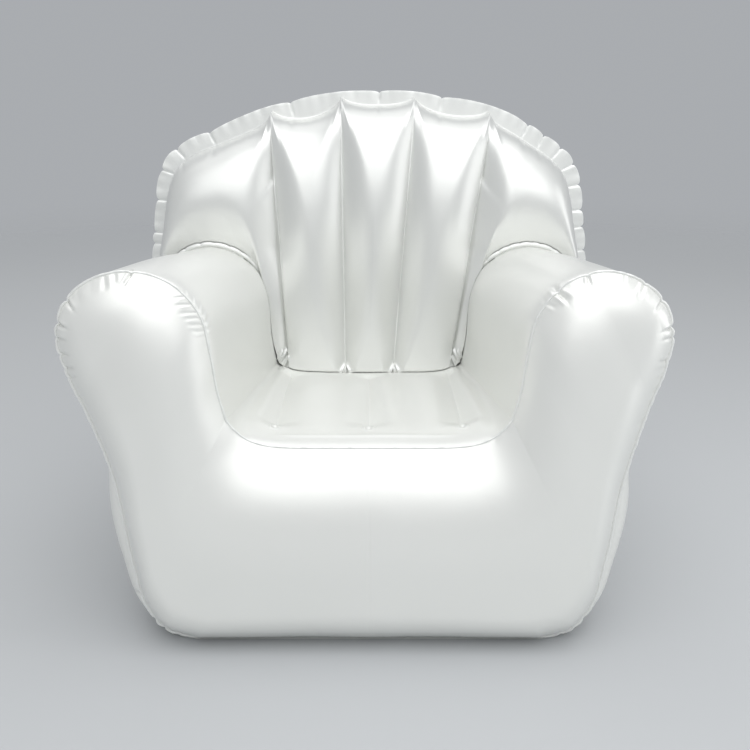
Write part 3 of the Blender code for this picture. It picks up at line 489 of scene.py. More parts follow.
def creases(s, d, marks):
    # the folds that the photograph shows: a narrow valley with a sharp crest on one side, even along part
    # of its length and then fading
    total = np.zeros(np.broadcast(s, d).shape)
    inner, outer = foldSet["creasePowers"]
    even = foldSet["creaseEven"]
    for place, depth, width, length, slant in marks:
        across = (s - place - slant * d) / (width * (1 + foldSet["creaseOpens"] * np.clip(d / length, 0, 1)))
        crest = sum(tall * bell(across - off, 1, outer) for off, tall in foldSet["creaseCrests"])
        total += depth * (crest - bell(across, 1, inner)) * (1 - ease((d / length - even) / (1 - even)))
    return total


def inLobe(s, notches):
    # 0 to 1 from each notch to the next
    notches = np.asarray(notches)
    left = np.clip(np.searchsorted(notches, s, side="right") - 1, 0, len(notches) - 2)
    return (s - notches[left]) / (notches[left + 1] - notches[left])


def petals(s, notches, power=2.4):
    # round lobes between the notches, 0 at a notch and 1 in the middle of a lobe
    return swell(np.clip(inLobe(s, notches), 0, 1), power)


def unevenSteps(start, end, step, seed):
    # places from start to end at uneven steps
    rng = np.random.default_rng(seed)
    places = start + np.cumsum(step * rng.uniform(0.65, 1.4, int(2 * (end - start) / step) + 2))
    return np.concatenate([[start], places[places < end - 0.4 * step], [end]])


def ripples(points, seed, size, height):
    # slow dents: a few sine waves in different directions
    rng = np.random.default_rng(seed)
    total = np.zeros(points.shape[:-1])
    for _ in range(7):
        way = rng.normal(size=3)
        way *= rng.uniform(0.7, 1.6) * 2 * np.pi / size / np.linalg.norm(way)
        total += np.sin(points @ way + rng.uniform(0, 2 * np.pi))
    return height * total / 2.6


def wave(run, length):
    return np.sin(run * 2 * np.pi / length)


def gridNormals(grid):
    # cross product of the two ways along the grid, of unit length
    normal = np.cross(np.gradient(grid, axis=1), np.gradient(grid, axis=0))
    return normal / np.maximum(np.linalg.norm(normal, axis=-1, keepdims=True), 1e-12)


leanSet = {
    "weldShift": 0.020,  # the photographed chair's channels lean to its right at the top
    "weldShiftRight": 0.012,
    "leftEarOut": 0.007,
    "rightEarIn": 0.009,
}


def leaned(line):
    # the back's outline, moved to the right near its top
    x, z = line[:, 0], line[:, 1]
    inside = ease((0.455 - np.abs(x)) / 0.17) * ease((z - 0.42) / 0.50)
    push = inside * (leanSet["weldShift"] + leanSet["weldShiftRight"] * ease((x - 0.05) / 0.2))
    return np.stack([x + push, z], axis=1)


def settled(points):
    # the left ear stands a little further out than the right one
    x, y, z = points[..., 0], points[..., 1], points[..., 2]
    ear = ease((np.abs(x) - 0.30) / 0.22) * ease((z - 0.33) / 0.25) * ease((0.16 - y) / 0.4)
    moved = points.copy()
    moved[..., 0] = x - ear * np.where(x < 0, leanSet["leftEarOut"], leanSet["rightEarIn"])
    return moved


valvePlaces = {
    # the outer face of each valve's flange, and the way it points
    "back": (np.array([0.31048, 0.45704, 0.22847]), np.array([0.04998, 0.99837, 0.02765])),
    "seat": (np.array([0.48286, 0.07203, 0.24934]), np.array([0.98299, 0.16890, -0.07210])),
}
valveSeat = {"sunk": 0.0014, "flat": 0.021, "free": 0.070, "hole": 0.0112, "holeDepth": 0.02, "depth": 0.03}


def fromValve(points, valve):
    # height above the valve's flange, and distance from its axis
    place, way = valvePlaces[valve]
    away = points - place
    high = away @ way
    return high, np.linalg.norm(away - high[..., None] * way, axis=-1)


def seatedOn(grid, valve):
    # the film lies flat under the valve's flange and comes back to its own curve further out
    high, wide = fromValve(grid, valve)
    held = 1 - ease((wide - valveSeat["flat"]) / (valveSeat["free"] - valveSeat["flat"]))
    held = held * (np.abs(high) < valveSeat["depth"])
    return grid - ((high + valveSeat["sunk"]) * held)[..., None] * valvePlaces[valve][1]


def skin(name, grid, material, nodes, weld=None, hole=None, flip=False):
    # a film from a grid of points, with the valve's hole left out
    rows, columns = grid.shape[:2]
    first = np.arange(rows * columns).reshape(rows, columns)
    corners = [first[:-1, :-1], first[:-1, 1:], first[1:, 1:], first[1:, :-1]]
    faces = np.stack(corners[::-1] if flip else corners, axis=-1).reshape(-1, 4)
    points = grid.reshape(-1, 3)
    if hole:
        high, wide = fromValve(points[faces].mean(axis=1), hole)
        faces = faces[(wide > valveSeat["hole"]) | (np.abs(high) > valveSeat["holeDepth"])]
    mesh = bpy.data.meshes.new(name)
    mesh.vertices.add(len(points))
    mesh.vertices.foreach_set("co", points.astype(np.float32).ravel())
    mesh.loops.add(faces.size)
    mesh.loops.foreach_set("vertex_index", faces.astype(np.int32).ravel())
    mesh.polygons.add(len(faces))
    mesh.polygons.foreach_set("loop_start", np.arange(0, faces.size, 4, dtype=np.int32))
    mesh.update(calc_edges=True)
    share = np.zeros(len(points), np.float32) if weld is None else weld.astype(np.float32).ravel()
    mesh.attributes.new("weld", "FLOAT", "POINT").data.foreach_set("value", share)
    mesh.validate()
    mesh.shade_smooth()
    mesh.materials.append(material)
    item = addObject(name, mesh)
    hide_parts(*nodes)
    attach(item, "chair")
    print(name, len(faces), "faces")
    return item


# The seam round one half of the front: foot, side, over the arm, crease, middle of the seat.
frontSeam = np.concatenate([frontArm, seatOutline(frontSection)[1:]])
seamLength = lengthsOf(frontSeam)[-1]
seamOut = normalsOf(frontSeam)
seamOut[0] = (0.9, -0.44)
seamOut[-1] = (0, 1)


def seamAt(spot):
    # running length on the front seam, for a place on either half
    return placeOf(frontSeam, (abs(spot[0]), spot[1]))


def atSeam(runs, values):
    return np.stack([np.interp(runs, lengthsOf(frontSeam), values[:, k]) for k in (0, 1)], axis=-1)


def eachHalf(shape, s, side):
    # what a function of the running length gives on the half that each point lies on
    return np.where(side > 0, shape(s, 1), shape(s, -1))


finSet = {
    # place on the seam: width of the fin there
    "widths": (((0.330, 0.0), 0.0070), ((0.443, 0.155), 0.0060), ((0.549, 0.600), 0.0052), ((0.418, 0.714), 0.0042),
               ((0.280, 0.560), 0.0036), ((0.262, 0.440), 0.0040), ((0.0, 0.386), 0.0040)),
    "lobe": 0.024,
    "lobeShare": 0.22,
    "wave": 0.0009,
    "waveLengths": (0.043, 0.017),
    "waveFrom": 0.05,
    "roll": 0.36,  # the fin bulges forward by this share of its width, and its rim rolls back
    "rows": 5,
    "tuck": 0.008,
}
finPlaces = [seamAt(spot) for spot, _ in finSet["widths"]]
finLobes = {side: unevenSteps(0, seamLength, finSet["lobe"], seed) for side, seed in ((1, 31), (-1, 32))}
finRows = np.linspace(0, 1, finSet["rows"] + 1)[1:]


def frontFin(s, side):
    # width with lobes, and how far the edge waves out of its plane
    width = np.interp(s, finPlaces, [w for _, w in finSet["widths"]])
    lobe = petals(s, finLobes[side])
    long, short = finSet["waveLengths"]
    off = finSet["wave"] * (np.sin(s * 2 * np.pi / long + side) + 0.6 * wave(s, short))
    return width * (1 - finSet["lobeShare"] + finSet["lobeShare"] * lobe), off * ease(s / finSet["waveFrom"])


seamMarks = {
    # the folds that the photograph shows, by their place on the seam: depth, width, length, slant
    -1: [((-0.4128, 0.7145), 0.0046, 0.0022, 0.024, -0.55), ((-0.4590, 0.7085), 0.0013, 0.0042, 0.028, -0.1),
         ((-0.4400, 0.7120), 0.0008, 0.0030, 0.020, 0.0), ((-0.3250, 0.6700), 0.0012, 0.0022, 0.016, -1.0),
         ((-0.3160, 0.6545), 0.0018, 0.0024, 0.023, -0.95), ((-0.3080, 0.6400), 0.0020, 0.0022, 0.026, -0.80),
         ((-0.3040, 0.6300), 0.0018, 0.0020, 0.024, -0.65), ((-0.3000, 0.6190), 0.0020, 0.0022, 0.025, -0.50),
         ((-0.2965, 0.6070), 0.0010, 0.0022, 0.019, -0.40)],
    1: [((0.3250, 0.6840), 0.0032, 0.0044, 0.026, -0.45), ((0.3080, 0.6620), 0.0010, 0.0030, 0.018, -0.4),
        ((0.3860, 0.7100), 0.0018, 0.0024, 0.014, 0.2), ((0.4080, 0.7140), 0.0010, 0.0040, 0.018, 0.0),
        ((0.4550, 0.7040), 0.0012, 0.0024, 0.016, 0.0), ((0.4857, 0.6806), 0.0014, 0.0036, 0.030, 0.1)],
}
seamNotches = {
    # where the photographed seam is drawn in, and by how much
    -1: [((-0.529, 0.665), 0.0050), ((-0.551, 0.6246), 0.0056), ((-0.558, 0.5965), 0.0034),
         ((-0.5594, 0.5624), 0.0036), ((-0.5536, 0.5352), 0.0040), ((-0.5552, 0.5156), 0.0022),
         ((-0.436, 0.0927), 0.0030), ((-0.4129, 0.0399), 0.0042), ((-0.3931, 0.0226), 0.0040),
         ((-0.3664, 0.0121), 0.0026), ((-0.4128, 0.7145), 0.0022)],
    1: [((0.4857, 0.6806), 0.0022), ((0.5146, 0.6541), 0.0036), ((0.5311, 0.6137), 0.0050),
        ((0.5392, 0.5972), 0.0028), ((0.5356, 0.5548), 0.0022), ((0.4108, 0.0435), 0.0040),
        ((0.3926, 0.0243), 0.0038), ((0.3682, 0.0114), 0.0026), ((0.3270, 0.6860), 0.0030),
        ((0.3860, 0.7100), 0.0024)],
}
notchSet = {"pull": 1.2, "width": 0.004, "foldShare": 0.34, "foldWidth": 0.0030, "foldReach": 0.026}


def drawnIn(s, side):
    # how far the seam is pulled in at running length s: the sum of depth · e^-|distance / width|
    return sum(notchSet["pull"] * depth * bell(s - seamAt(spot), notchSet["width"], 1)
               for spot, depth in seamNotches[side])


def seamFolds(side, seed, share):
    # fine uneven folds, stronger where the seam turns tightly
    marks = [((0.330, 0.0), 0.9), ((0.443, 0.155), 0.35), ((0.472, 0.34), 0.20), ((0.545, 0.56), 0.75),
             ((0.520, 0.680), 0.8), ((0.418, 0.714), 0.35), ((0.33, 0.680), 0.25), ((0.285, 0.56), 0.20),
             ((0.262, 0.440), 0.25), ((0.18, 0.388), 0.14), ((0.0, 0.386), 0.10)]
    return gathers(seamLength, sorted((seamAt(spot), value * share) for spot, value in marks), seed)


def seamHeights(s, d, side, seed, share):
    # all folds along the front seam: uneven ones, the photographed ones, and one from each notch
    k = notchSet
    shown = [(seamAt(spot), depth * share, *rest) for spot, depth, *rest in seamMarks[side]]
    notched = [(seamAt(spot), k["foldShare"] * depth * share, k["foldWidth"], k["foldReach"], 0.0)
               for spot, depth in seamNotches[side]]
    return pleats(s, d, seamFolds(side, seed, share)) + creases(s, d, shown + notched)


# front panel: a U-shaped lens between its outer and inner edge

frontSet = {
    "columns": 440 * fine,
    "rows": 120 * fine,
    "outerCrowd": 1.6,
    "poleWidth": 0.16,
    "upperRise": 0.272,  # how far below its upper seam the panel reaches its full bulge
    "lowerRise": 0.088,
    "riseShare": 0.62,
    "fuller": 0.019,  # extra bulge below the seat, where the panel is wider than this
    "fullerFrom": 0.26,
    "fullerOver": 0.10,
    "dentSize": 0.30,
    "dent": 0.0007,
    "dentFrom": 0.06,
}


def rise(distance, reach, power=2.8):
    # from 0 at the seam to 1 at the reach, steep at first: 1 - (1 - distance / reach)^power
    return 1 - (1 - np.clip(distance / reach, 0, 1)) ** power


def frontPanel(k):
    # y = seam - crown · rise from the upper seam · rise from the lower one, crown by the root of the width
    cut = nearestOn(frontArm, frontSection["arm"])
    outer = np.concatenate([frontArm[: cut + 1][::-1], [[0, low]]])
    inner = np.concatenate([frontArm[cut:], seatOutline(frontSection)[1:]])
    place = np.linspace(-1, 1, 2 * int(k["columns"]) + 1)
    u = 1 - np.abs(place)
    side = np.where(place < 0, -1.0, 1.0)
    lowEdge, highEdge = spaced(outer, u ** k["outerCrowd"]), spaced(inner, u)
    v = crowded(k["rows"])[:, None]
    flat = lowEdge[None] + (highEdge - lowEdge)[None] * v[..., None]
    width = np.linalg.norm(highEdge - lowEdge, axis=1)
    crown = chairSize["frontCrown"] * np.sqrt(width / width.max()) * (1 - bell(width, k["poleWidth"])) ** 0.25
    crown = crown + k["fuller"] * ease((width - k["fullerFrom"]) / k["fullerOver"])
    upper = rise((1 - v) * width, np.minimum(k["upperRise"], k["riseShare"] * width))
    lower = rise(v * width, np.minimum(k["lowerRise"], k["riseShare"] * width), 2.4)
    grid = placed(flat, seamY - gap - (crown[None] - gap).clip(0) * upper * lower)
    s, d = seamPlace(flat, frontSeam)
    normal = gridNormals(grid)
    outward = np.where(normal[..., 1:2] > 0, -normal, normal)
    high = np.zeros(s.shape)
    for way, seed in ((-1, 11), (1, 12)):
        half = side == way
        high[:, half] = seamHeights(s[:, half], d[:, half], way, seed, 1.0)
    high += ripples(grid, 5, k["dentSize"], k["dent"]) * ease(d / k["dentFrom"])
    high *= ease(d / foldSet["seamFade"] + 0.25)
    grid = grid + outward * high[..., None]
    pull = eachHalf(drawnIn, s, side) * bell(d, foldSet["pullReach"])
    grid[..., [0, 2]] -= atSeam(s, seamOut) * pull[..., None]
    grid[..., 0] *= side
    return grid, lowEdge, highEdge, side


def withFrontFin(grid, lowEdge, highEdge, side):
    # rows beyond both edges: the fin's width outwards, in the seam's plane, closed over at its rim, and
    # none of it along the floor, where the film is tucked back
    footX = frontSection["foot"][0]
    made = []
    for edge in (lowEdge, highEdge):
        s, _ = seamPlace(edge, frontSeam)
        out = atSeam(s, seamOut)
        width, off = eachHalf(frontFin, s, side)
        edge = edge - out * eachHalf(drawnIn, s, side)[:, None]
        under = (edge[:, 0] < footX - 0.002) & (edge[:, 1] < 0.01)
        width = np.where(under, 0.0, width)
        strip = []
        for share in [*finRows, 1.0]:
            flat = edge + out * (width * share)[:, None]
            y = seamY - gap + off * share**2 - finSet["roll"] * width * math.sin(math.pi * share)
            y = y + (2 * gap if len(strip) == len(finRows) else 0)
            tuck = np.where(under, finSet["tuck"] * share * ease((footX - edge[:, 0]) / 0.03), 0)
            flat = np.stack([flat[:, 0] * side, np.maximum(flat[:, 1], chairSize["rimLow"])], axis=1)
            strip.append(placed(flat, y + tuck))
        made.append(np.array(strip))
    lowRows, highRows = made[0][::-1], made[1]
    weld = np.concatenate([np.ones(lowRows.shape[:2]), np.zeros(grid.shape[:2]), np.ones(highRows.shape[:2])])
    return np.concatenate([lowRows, grid, highRows]), weld


grid, weld = withFrontFin(*frontPanel(frontSet))
frontPiece = skin("frontPanel", settled(grid), pearlFilm, ["front_panel"], weld)

# arm panels: front outline lofted to the rear one and swollen outwards between them

armSet = {
    "columns": 440 * fine,
    "rows": 130 * fine,
    "bulge": 0.060,
    "bulgePlaces": (0, 0.10, 0.22, 0.36, 0.50, 0.68, 0.85, 1),
    "bulgeShares": (0, 0.75, 1, 0.36, -0.08, 0.10, 0.45, 0),
    "overFrom": (0.36, 0.08),  # where the film starts and ends to pass over the arm: place, length
    "overTo": (0.74, 0.10),
    "foldShare": 0.7,
    "rearFolds": ((0.0, 0.9), (0.25, 0.5), (0.62, 0.30), (1.0, 0.2)),
    "dentSize": 0.34,
    "dent": 0.0011,
    "dentFrom": 0.07,
    "rearFin": 0.0122,
    "rearLobe": 0.03,
    "rearCurl": 0.42,
    "rearLean": 0.22,
}
bulgeCurve = smoothCurve(list(zip(armSet["bulgePlaces"], armSet["bulgeShares"])))


def armFlat(share, t):
    # outlines from front (t 0) to rear (t 1), moved outwards by the bulge times a pillow's height, which
    # falls as a parabola to the rear seam where the film passes over the arm
    front, rear = spaced(frontArm, share), spaced(rearArm, share)
    flat = front + (rear - front) * t[:, None, None]
    run = np.gradient(flat, axis=1)
    run /= np.linalg.norm(run, axis=2, keepdims=True)
    out = np.stack([run[..., 1], np.maximum(-run[..., 0], 0)], axis=-1)
    amount = armSet["bulge"] * np.interp(share, bulgeCurve[:, 0], bulgeCurve[:, 1])
    (start, startOver), (end, endOver) = armSet["overFrom"], armSet["overTo"]
    over = ease((share - start) / startOver) * (1 - ease((share - end) / endOver))
    lower = np.where(t < 0.5, swell(t), 1 - (2 * t - 1) ** 2)
    pillow = swell(t)[:, None] + (lower - swell(t))[:, None] * over[None]
    return flat + out * amount[None, :, None] * pillow[..., None]


def armPanel(k, side, seeds):
    # the loft, then folds along its front and rear seam, then fins at both
    share = np.linspace(0, 1, int(k["columns"]) + 1)
    t = crowded(k["rows"])
    flat = armFlat(share, t)
    grid = placed(flat, blockY(t)[:, None])
    outward = -gridNormals(grid)
    s = np.broadcast_to((share * armLength)[None], flat.shape[:2])
    d = np.broadcast_to((t * chairSize["seatDepth"])[:, None], flat.shape[:2])
    far = chairSize["seatDepth"] - d
    rearStrength = [(place * armLength, value) for place, value in k["rearFolds"]]
    high = seamHeights(s, d, side, seeds[0], k["foldShare"])
    high = high + pleats(s, far, gathers(armLength, rearStrength, seeds[1], 0.024, 0.0022, 0.034))
    dents = ripples(grid * np.array([side, 1, 1]), seeds[2], k["dentSize"], k["dent"])
    high = high + dents * ease(d / k["dentFrom"]) * ease(far / k["dentFrom"])
    high = high * ease(np.minimum(share, 1 - share) / 0.02)[None]
    high = high * ease(np.minimum(d, far) / foldSet["seamFade"] + 0.25)
    grid = grid + outward * high[..., None]
    pull = drawnIn(share * armLength, side)
    out = atSeam(share * armLength, seamOut)
    out[-1] = out[-2]
    grid[..., [0, 2]] -= out[None] * (pull[None] * bell(d, foldSet["pullReach"]))[..., None]
    seamFlat, rearFlat = flat[0] - out * pull[:, None], flat[-1]
    width, off = frontFin(share * armLength, side)
    rearOut = normalsOf(rearFlat)
    rearWidth = k["rearFin"] * ease((rearFlat[:, 1] - 0.012) / 0.03) * ease((1 - share) / 0.26)
    rearLobes = petals(share * armLength, unevenSteps(0, armLength, k["rearLobe"], seeds[1]))
    rearWidth = rearWidth * (0.8 + 0.2 * rearLobes)
    front, rear = [], []
    for part in finRows:
        place = seamFlat + out * (width * part * ease((1 - share) / 0.015))[:, None]
        place[:, 1] = np.maximum(place[:, 1], chairSize["rimLow"])
        bend = off * part**2 - finSet["roll"] * width * math.sin(math.pi * part)
        front.append(placed(place, seamY + gap + bend))
        place = rearFlat + rearOut * (rearWidth * part)[:, None]
        bend = -k["rearCurl"] * rearWidth * math.sin(math.pi * part**1.2) - k["rearLean"] * rearWidth * part
        rear.append(placed(place, blockY(1) + bend))
    grid = np.concatenate([front[::-1], grid, rear])
    weld = np.zeros(grid.shape[:2])
    weld[: len(finRows)] = 1
    weld[-len(finRows):] = 1
    grid[..., 0] *= side
    return grid, weld


for side, name, node, seeds in ((-1, "leftArmPanel", "left_arm_panel", (21, 22, 23)),
                                (1, "rightArmPanel", "right_arm_panel", (24, 25, 26))):
    grid, weld = armPanel(armSet, side, seeds)
    if side > 0:
        grid = seatedOn(grid, "seat")
    armPiece = skin(name, settled(grid), pearlFilm, [node], weld,
                    "seat" if side > 0 else None, flip=side > 0)

# seat panel: crowned film with three welds that end in dots

seatSet = {
    "sideColumns": 60 * fine,
    "middleColumns": 76 * fine,
    "rows": 200 * fine,
    "crown": 0.030,
    "rim": 0.67,
    "weldShare": 0.84,
    "weldShares": (1.0, 0.8, 0.9),  # of the full depth, left to right
    "weldDepth": 0.016,
    "weldFront": 0.071,
    "weldRearClear": 0.052,
    "weldFade": 0.050,
    "weldRear": 0.10,  # what is left of a weld's depth at the back
    "grooveWidth": 0.0065,
    "grooveShare": 0.24,
    "swellWidth": 0.034,
    "lineWidth": 0.0016,
    "lineShare": 0.4,
    "dotRadius": 0.0050,
    "dotDepth": 0.0046,
    "ringRadius": 0.0085,
    "ringWidth": 0.0024,
    "ringHeight": 0.0028,
    "ridgePlace": 0.036,
    "ridgeHeight": 0.0020,
    "ridgeWidth": 0.006,
    "ridgeEnd": (0.19, 0.05),
    "dentSize": 0.22,
    "dent": 0.0010,
    "dentFrom": 0.05,
    "hem": 0.008,
    "finParts": (1.0, 0.67, 0.33),
}
seatWeldX = rearSection["crease"][0] * seatSet["weldShare"]
seatWelds = (-seatWeldX, 0.0, seatWeldX)


def seatFlat(k, columns, t):
    # columns from crease (0) to weld (1) to middle (2), rows from front (t 0) to rear (t 1)
    outerShare = np.clip(columns, 0, 1)
    middleShare = np.clip(columns - 1, 0, 1)
    ends = []
    for section in (frontSection, rearSection):
        x = section["crease"][0] + (seatWeldX - section["crease"][0]) * outerShare
        x = x * (1 - middleShare)
        ends.append(np.stack([x, seatHeight(section, x)], axis=1))
    flat = ends[0][None] + (ends[1] - ends[0])[None] * t[:, None, None]
    rim = ease(outerShare / k["rim"])
    flat[..., 1] += k["crown"] * swell(t, 2)[:, None] * rim[None]
    return flat, rim


def seatPanel(k):
    # the crowned sheet less a groove at each weld: sharp e^-|x| in a wide soft dip, faded at both ends
    columns = np.concatenate([crowded(k["sideColumns"])[:-1], 1 + crowded(k["middleColumns"])])
    t = crowded(k["rows"])
    flat, rim = seatFlat(k, columns, t)
    flat = np.concatenate([flat, flat[:, ::-1][:, 1:] * np.array([-1, 1])], axis=1)
    rim = np.concatenate([rim, rim[::-1][1:]])
    depth = (t * chairSize["seatDepth"])[:, None]
    x = flat[..., 0]
    atBack = ease((chairSize["seatDepth"] - k["weldRearClear"] - depth) / k["weldFade"])
    window = ease((depth - k["weldFront"]) / k["weldFade"]) * (k["weldRear"] + (1 - k["weldRear"]) * atBack)
    drop, weld = np.zeros(x.shape), np.zeros(x.shape)
    for place, share in zip(seatWelds, k["weldShares"]):
        off = x - place
        groove = k["grooveShare"] * bell(off, k["grooveWidth"], 1)
        groove = groove + (1 - k["grooveShare"]) * bell(off, k["swellWidth"])
        ring = np.hypot(off, depth - k["weldFront"])
        dot = k["dotDepth"] * bell(ring, k["dotRadius"])
        dot = dot - k["ringHeight"] * bell(ring - k["ringRadius"], k["ringWidth"])
        drop += share * (k["weldDepth"] * groove * window + dot)
        weld = np.maximum(weld, k["lineShare"] * bell(off, k["lineWidth"]) * window)
    end, fadeOver = k["ridgeEnd"]
    ridge = k["ridgeHeight"] * bell(depth - k["ridgePlace"], k["ridgeWidth"])
    drop -= ridge * ease((end - np.abs(x)) / fadeOver)
    grid = placed(flat, blockY(t)[:, None])
    d = np.broadcast_to(depth, x.shape)
    far = chairSize["seatDepth"] - d
    high = pleats(x + 0.3, d, gathers(0.6, [(0, 0.4), (0.3, 0.2), (0.6, 0.4)], 41, 0.03, 0.0014, 0.03))
    high += pleats(x + 0.3, far, gathers(0.6, [(0, 1.0), (0.6, 1.0)], 42, 0.022, 0.0022, 0.05))
    dents = ripples(grid, 9, k["dentSize"], k["dent"])
    high += dents * ease(d / k["dentFrom"]) * ease(far / k["dentFrom"])
    drop -= high * rim[None] * ease(np.minimum(d, far) / foldSet["seamFade"] + 0.1)
    grid[..., 2] -= drop * rim[None]
    rear = [grid[-1] - np.array([0, 0, k["hem"]]) * part for part in (0.5, 1.0)]
    runs, _ = seamPlace(np.abs(grid[0][:, [0, 2]]), frontSeam)
    front = []
    for part in k["finParts"]:
        strip = grid[0].copy()
        for way in (-1, 1):
            half = grid[0, :, 0] * way >= 0
            width, off = frontFin(runs[half], way)
            out = atSeam(runs[half], seamOut)
            strip[half, 0] += way * out[:, 0] * width * part
            strip[half, 2] += out[:, 1] * width * part
            strip[half, 1] += off * part**2
        front.append(strip)
    weld = np.concatenate([np.ones((len(front), x.shape[1])), weld, np.zeros((len(rear), x.shape[1]))])
    return np.concatenate([front, grid, rear]), weld


grid, weld = seatPanel(seatSet)
seatGrid = grid[3:-2]
seatPiece = skin("seatPanel", settled(grid), pearlFilm, ["seat_panel"], weld, flip=True)

# backrest: two films welded along one line, five channels at the front and rear

backSet = {
    "depth": 0.100,
    "lean": 0.050,
    "reach": 0.019,
    "edgeRoom": 0.0105,  # from the arm's outline to the back's own
    "innerShare": 0.6,
    "seatRoom": 0.0015,
    "footShare": 0.805,
    "sideShares": ((0.965, 0.304), (1, 0.698), (0.928, 0.853), (0.723, 0.915)),
    "outerTop": (0.499, 0.9615),
    "innerTop": (0.170, 0.9939),
    "outerFoot": 0.870,
    "innerFoot": 0.260,
    "channelDepth": 0.034,
    "wingDepth": 0.022,
    "wingNarrow": 0.06,
    "wingStart": 0.170,  # the wing comes forward over this length above the arm
    "wingAbove": (0.52, 0.13),  # from this height on, over this length
    "channelStart": 0.020,
    "cornerStart": 0.007,
    "flatten": 3.8,
    "sags": (0.030, 0.018, 0.024),  # how far the inflated edge hangs between the weld tops, left to right
    "wingSag": 0.024,
    "wingSagOver": (0.030, 0.45),
    "tip": 0.007,  # how far each weld's top reaches into the flange
    "tipWidth": 0.011,
    "footRadius": 0.045,
    "round": 4.2,
    "rearRound": 2.3,
    "wingBlock": (0, 0.10, 0.18, 0.24, 0.28, 0.35, 0.40, 0.48, 0.55, 1),
    "wingWeld": (0, 0.045, 0.074, 0.12, 0.17, 0.245, 0.32, 0.436, 0.545, 1),
    "pinchFrom": 0.16,  # metres below a weld's top at which its two films start to close
    "footClear": (0.052, 0.027, 0.027, 0.052),  # how far above the seat each weld ends
    "rearClear": 0.10,
    "channelColumns": 72 * fine,
    "middleColumns": 38 * fine,
    "rows": 116 * fine,
    "stepPlaces": (0, 0.03, 0.08, 0.65, 1.2),  # along the wing's weld, metres
    "steps": (0.0007, 0.0010, 0.0026, 0.0036, 0.0080),
    "grooveDepth": 0.0020,
    "grooveWidth": 0.0018,
    "lineWidth": 0.0014,
    "dentSize": 0.26,
    "dent": 0.0007,
    "dentFrom": 0.08,
    "seed": 63,
    "rearSeed": 73,
}
flangeSet = {
    "topWidth": 0.014,
    "sideWidth": 0.024,
    "extra": 0.004,
    "notchDepth": 0.0085,
    "rows": 12,
    "foldDepth": 0.0030,
    "foldWidth": 0.0016,
    "wave": 0.0012,
    "waveLengths": (0.071, 0.027),
    "waveFrom": 0.08,
    # notches by their place on the flange, before the back leans
    "left": ((-0.201, 0.967), (-0.387, 0.922), (-0.457, 0.874), (-0.488, 0.821), (-0.500, 0.753), (-0.506, 0.675)),
    "right": ((0.003, 0.990), (0.143, 0.974), (0.349, 0.915), (0.411, 0.902), (0.447, 0.865), (0.480, 0.834),
              (0.501, 0.786), (0.503, 0.726), (0.509, 0.687), (0.509, 0.631)),
    "step": 0.044,
}
backSideX = rearArmX + backSet["reach"]
backTopZ = chairSize["height"] - flangeSet["topWidth"]
outerTop = (backSideX * backSet["outerTop"][0], backTopZ * backSet["outerTop"][1])
innerTop = (backSideX * backSet["innerTop"][0], backTopZ * backSet["innerTop"][1])
outerFootX = rearSection["crease"][0] * backSet["outerFoot"]
innerFootX = rearSection["crease"][0] * backSet["innerFoot"]


def weldPlane(z):
    # the flange's plane, leaning back with height
    return wallY + backSet["depth"] + backSet["lean"] * z / backTopZ


def hold(t, power):
    # the pillow's depth from its wall (t 0) to its weld (t 1), a superellipse
    return np.clip(1 - t**power, 0, 1) ** (1 / power)


def floorX(footX, footZ, top):
    # where the line from a weld's top through its foot meets the floor
    return footX - (top[0] - footX) / (top[1] - footZ) * footZ


def besideArm(k):
    # the back's edge: room for the arm's fin at the top, close to the film at the crease and the seat
    section = grown(rearSection, k["edgeRoom"])
    inner, crease = rearSection["inner"], rearSection["crease"]
    section["inner"] = (inner[0] - k["innerShare"] * k["edgeRoom"], inner[1])
    section["crease"] = (crease[0] - k["seatRoom"], crease[1] + k["seatRoom"])
    section["seatZ"] = rearSection["seatZ"] + k["seatRoom"]
    return section


def edgeShares(k, along):
    # shares of the block's edge for shares of the wing's weld: the table's, smoothed by a round window
    places = np.linspace(0, 1, 801)
    window = np.hanning(83)[1:-1]
    shift = np.interp(places, k["wingWeld"], k["wingBlock"]) - places
    shift = np.pad(shift, len(window) // 2, mode="reflect", reflect_type="odd")
    shares = along + np.interp(along, places, np.convolve(shift, window / window.sum(), "valid"))
    shares = np.clip(shares, 0, 1)
    shares[0], shares[-1] = 0, 1
    return shares


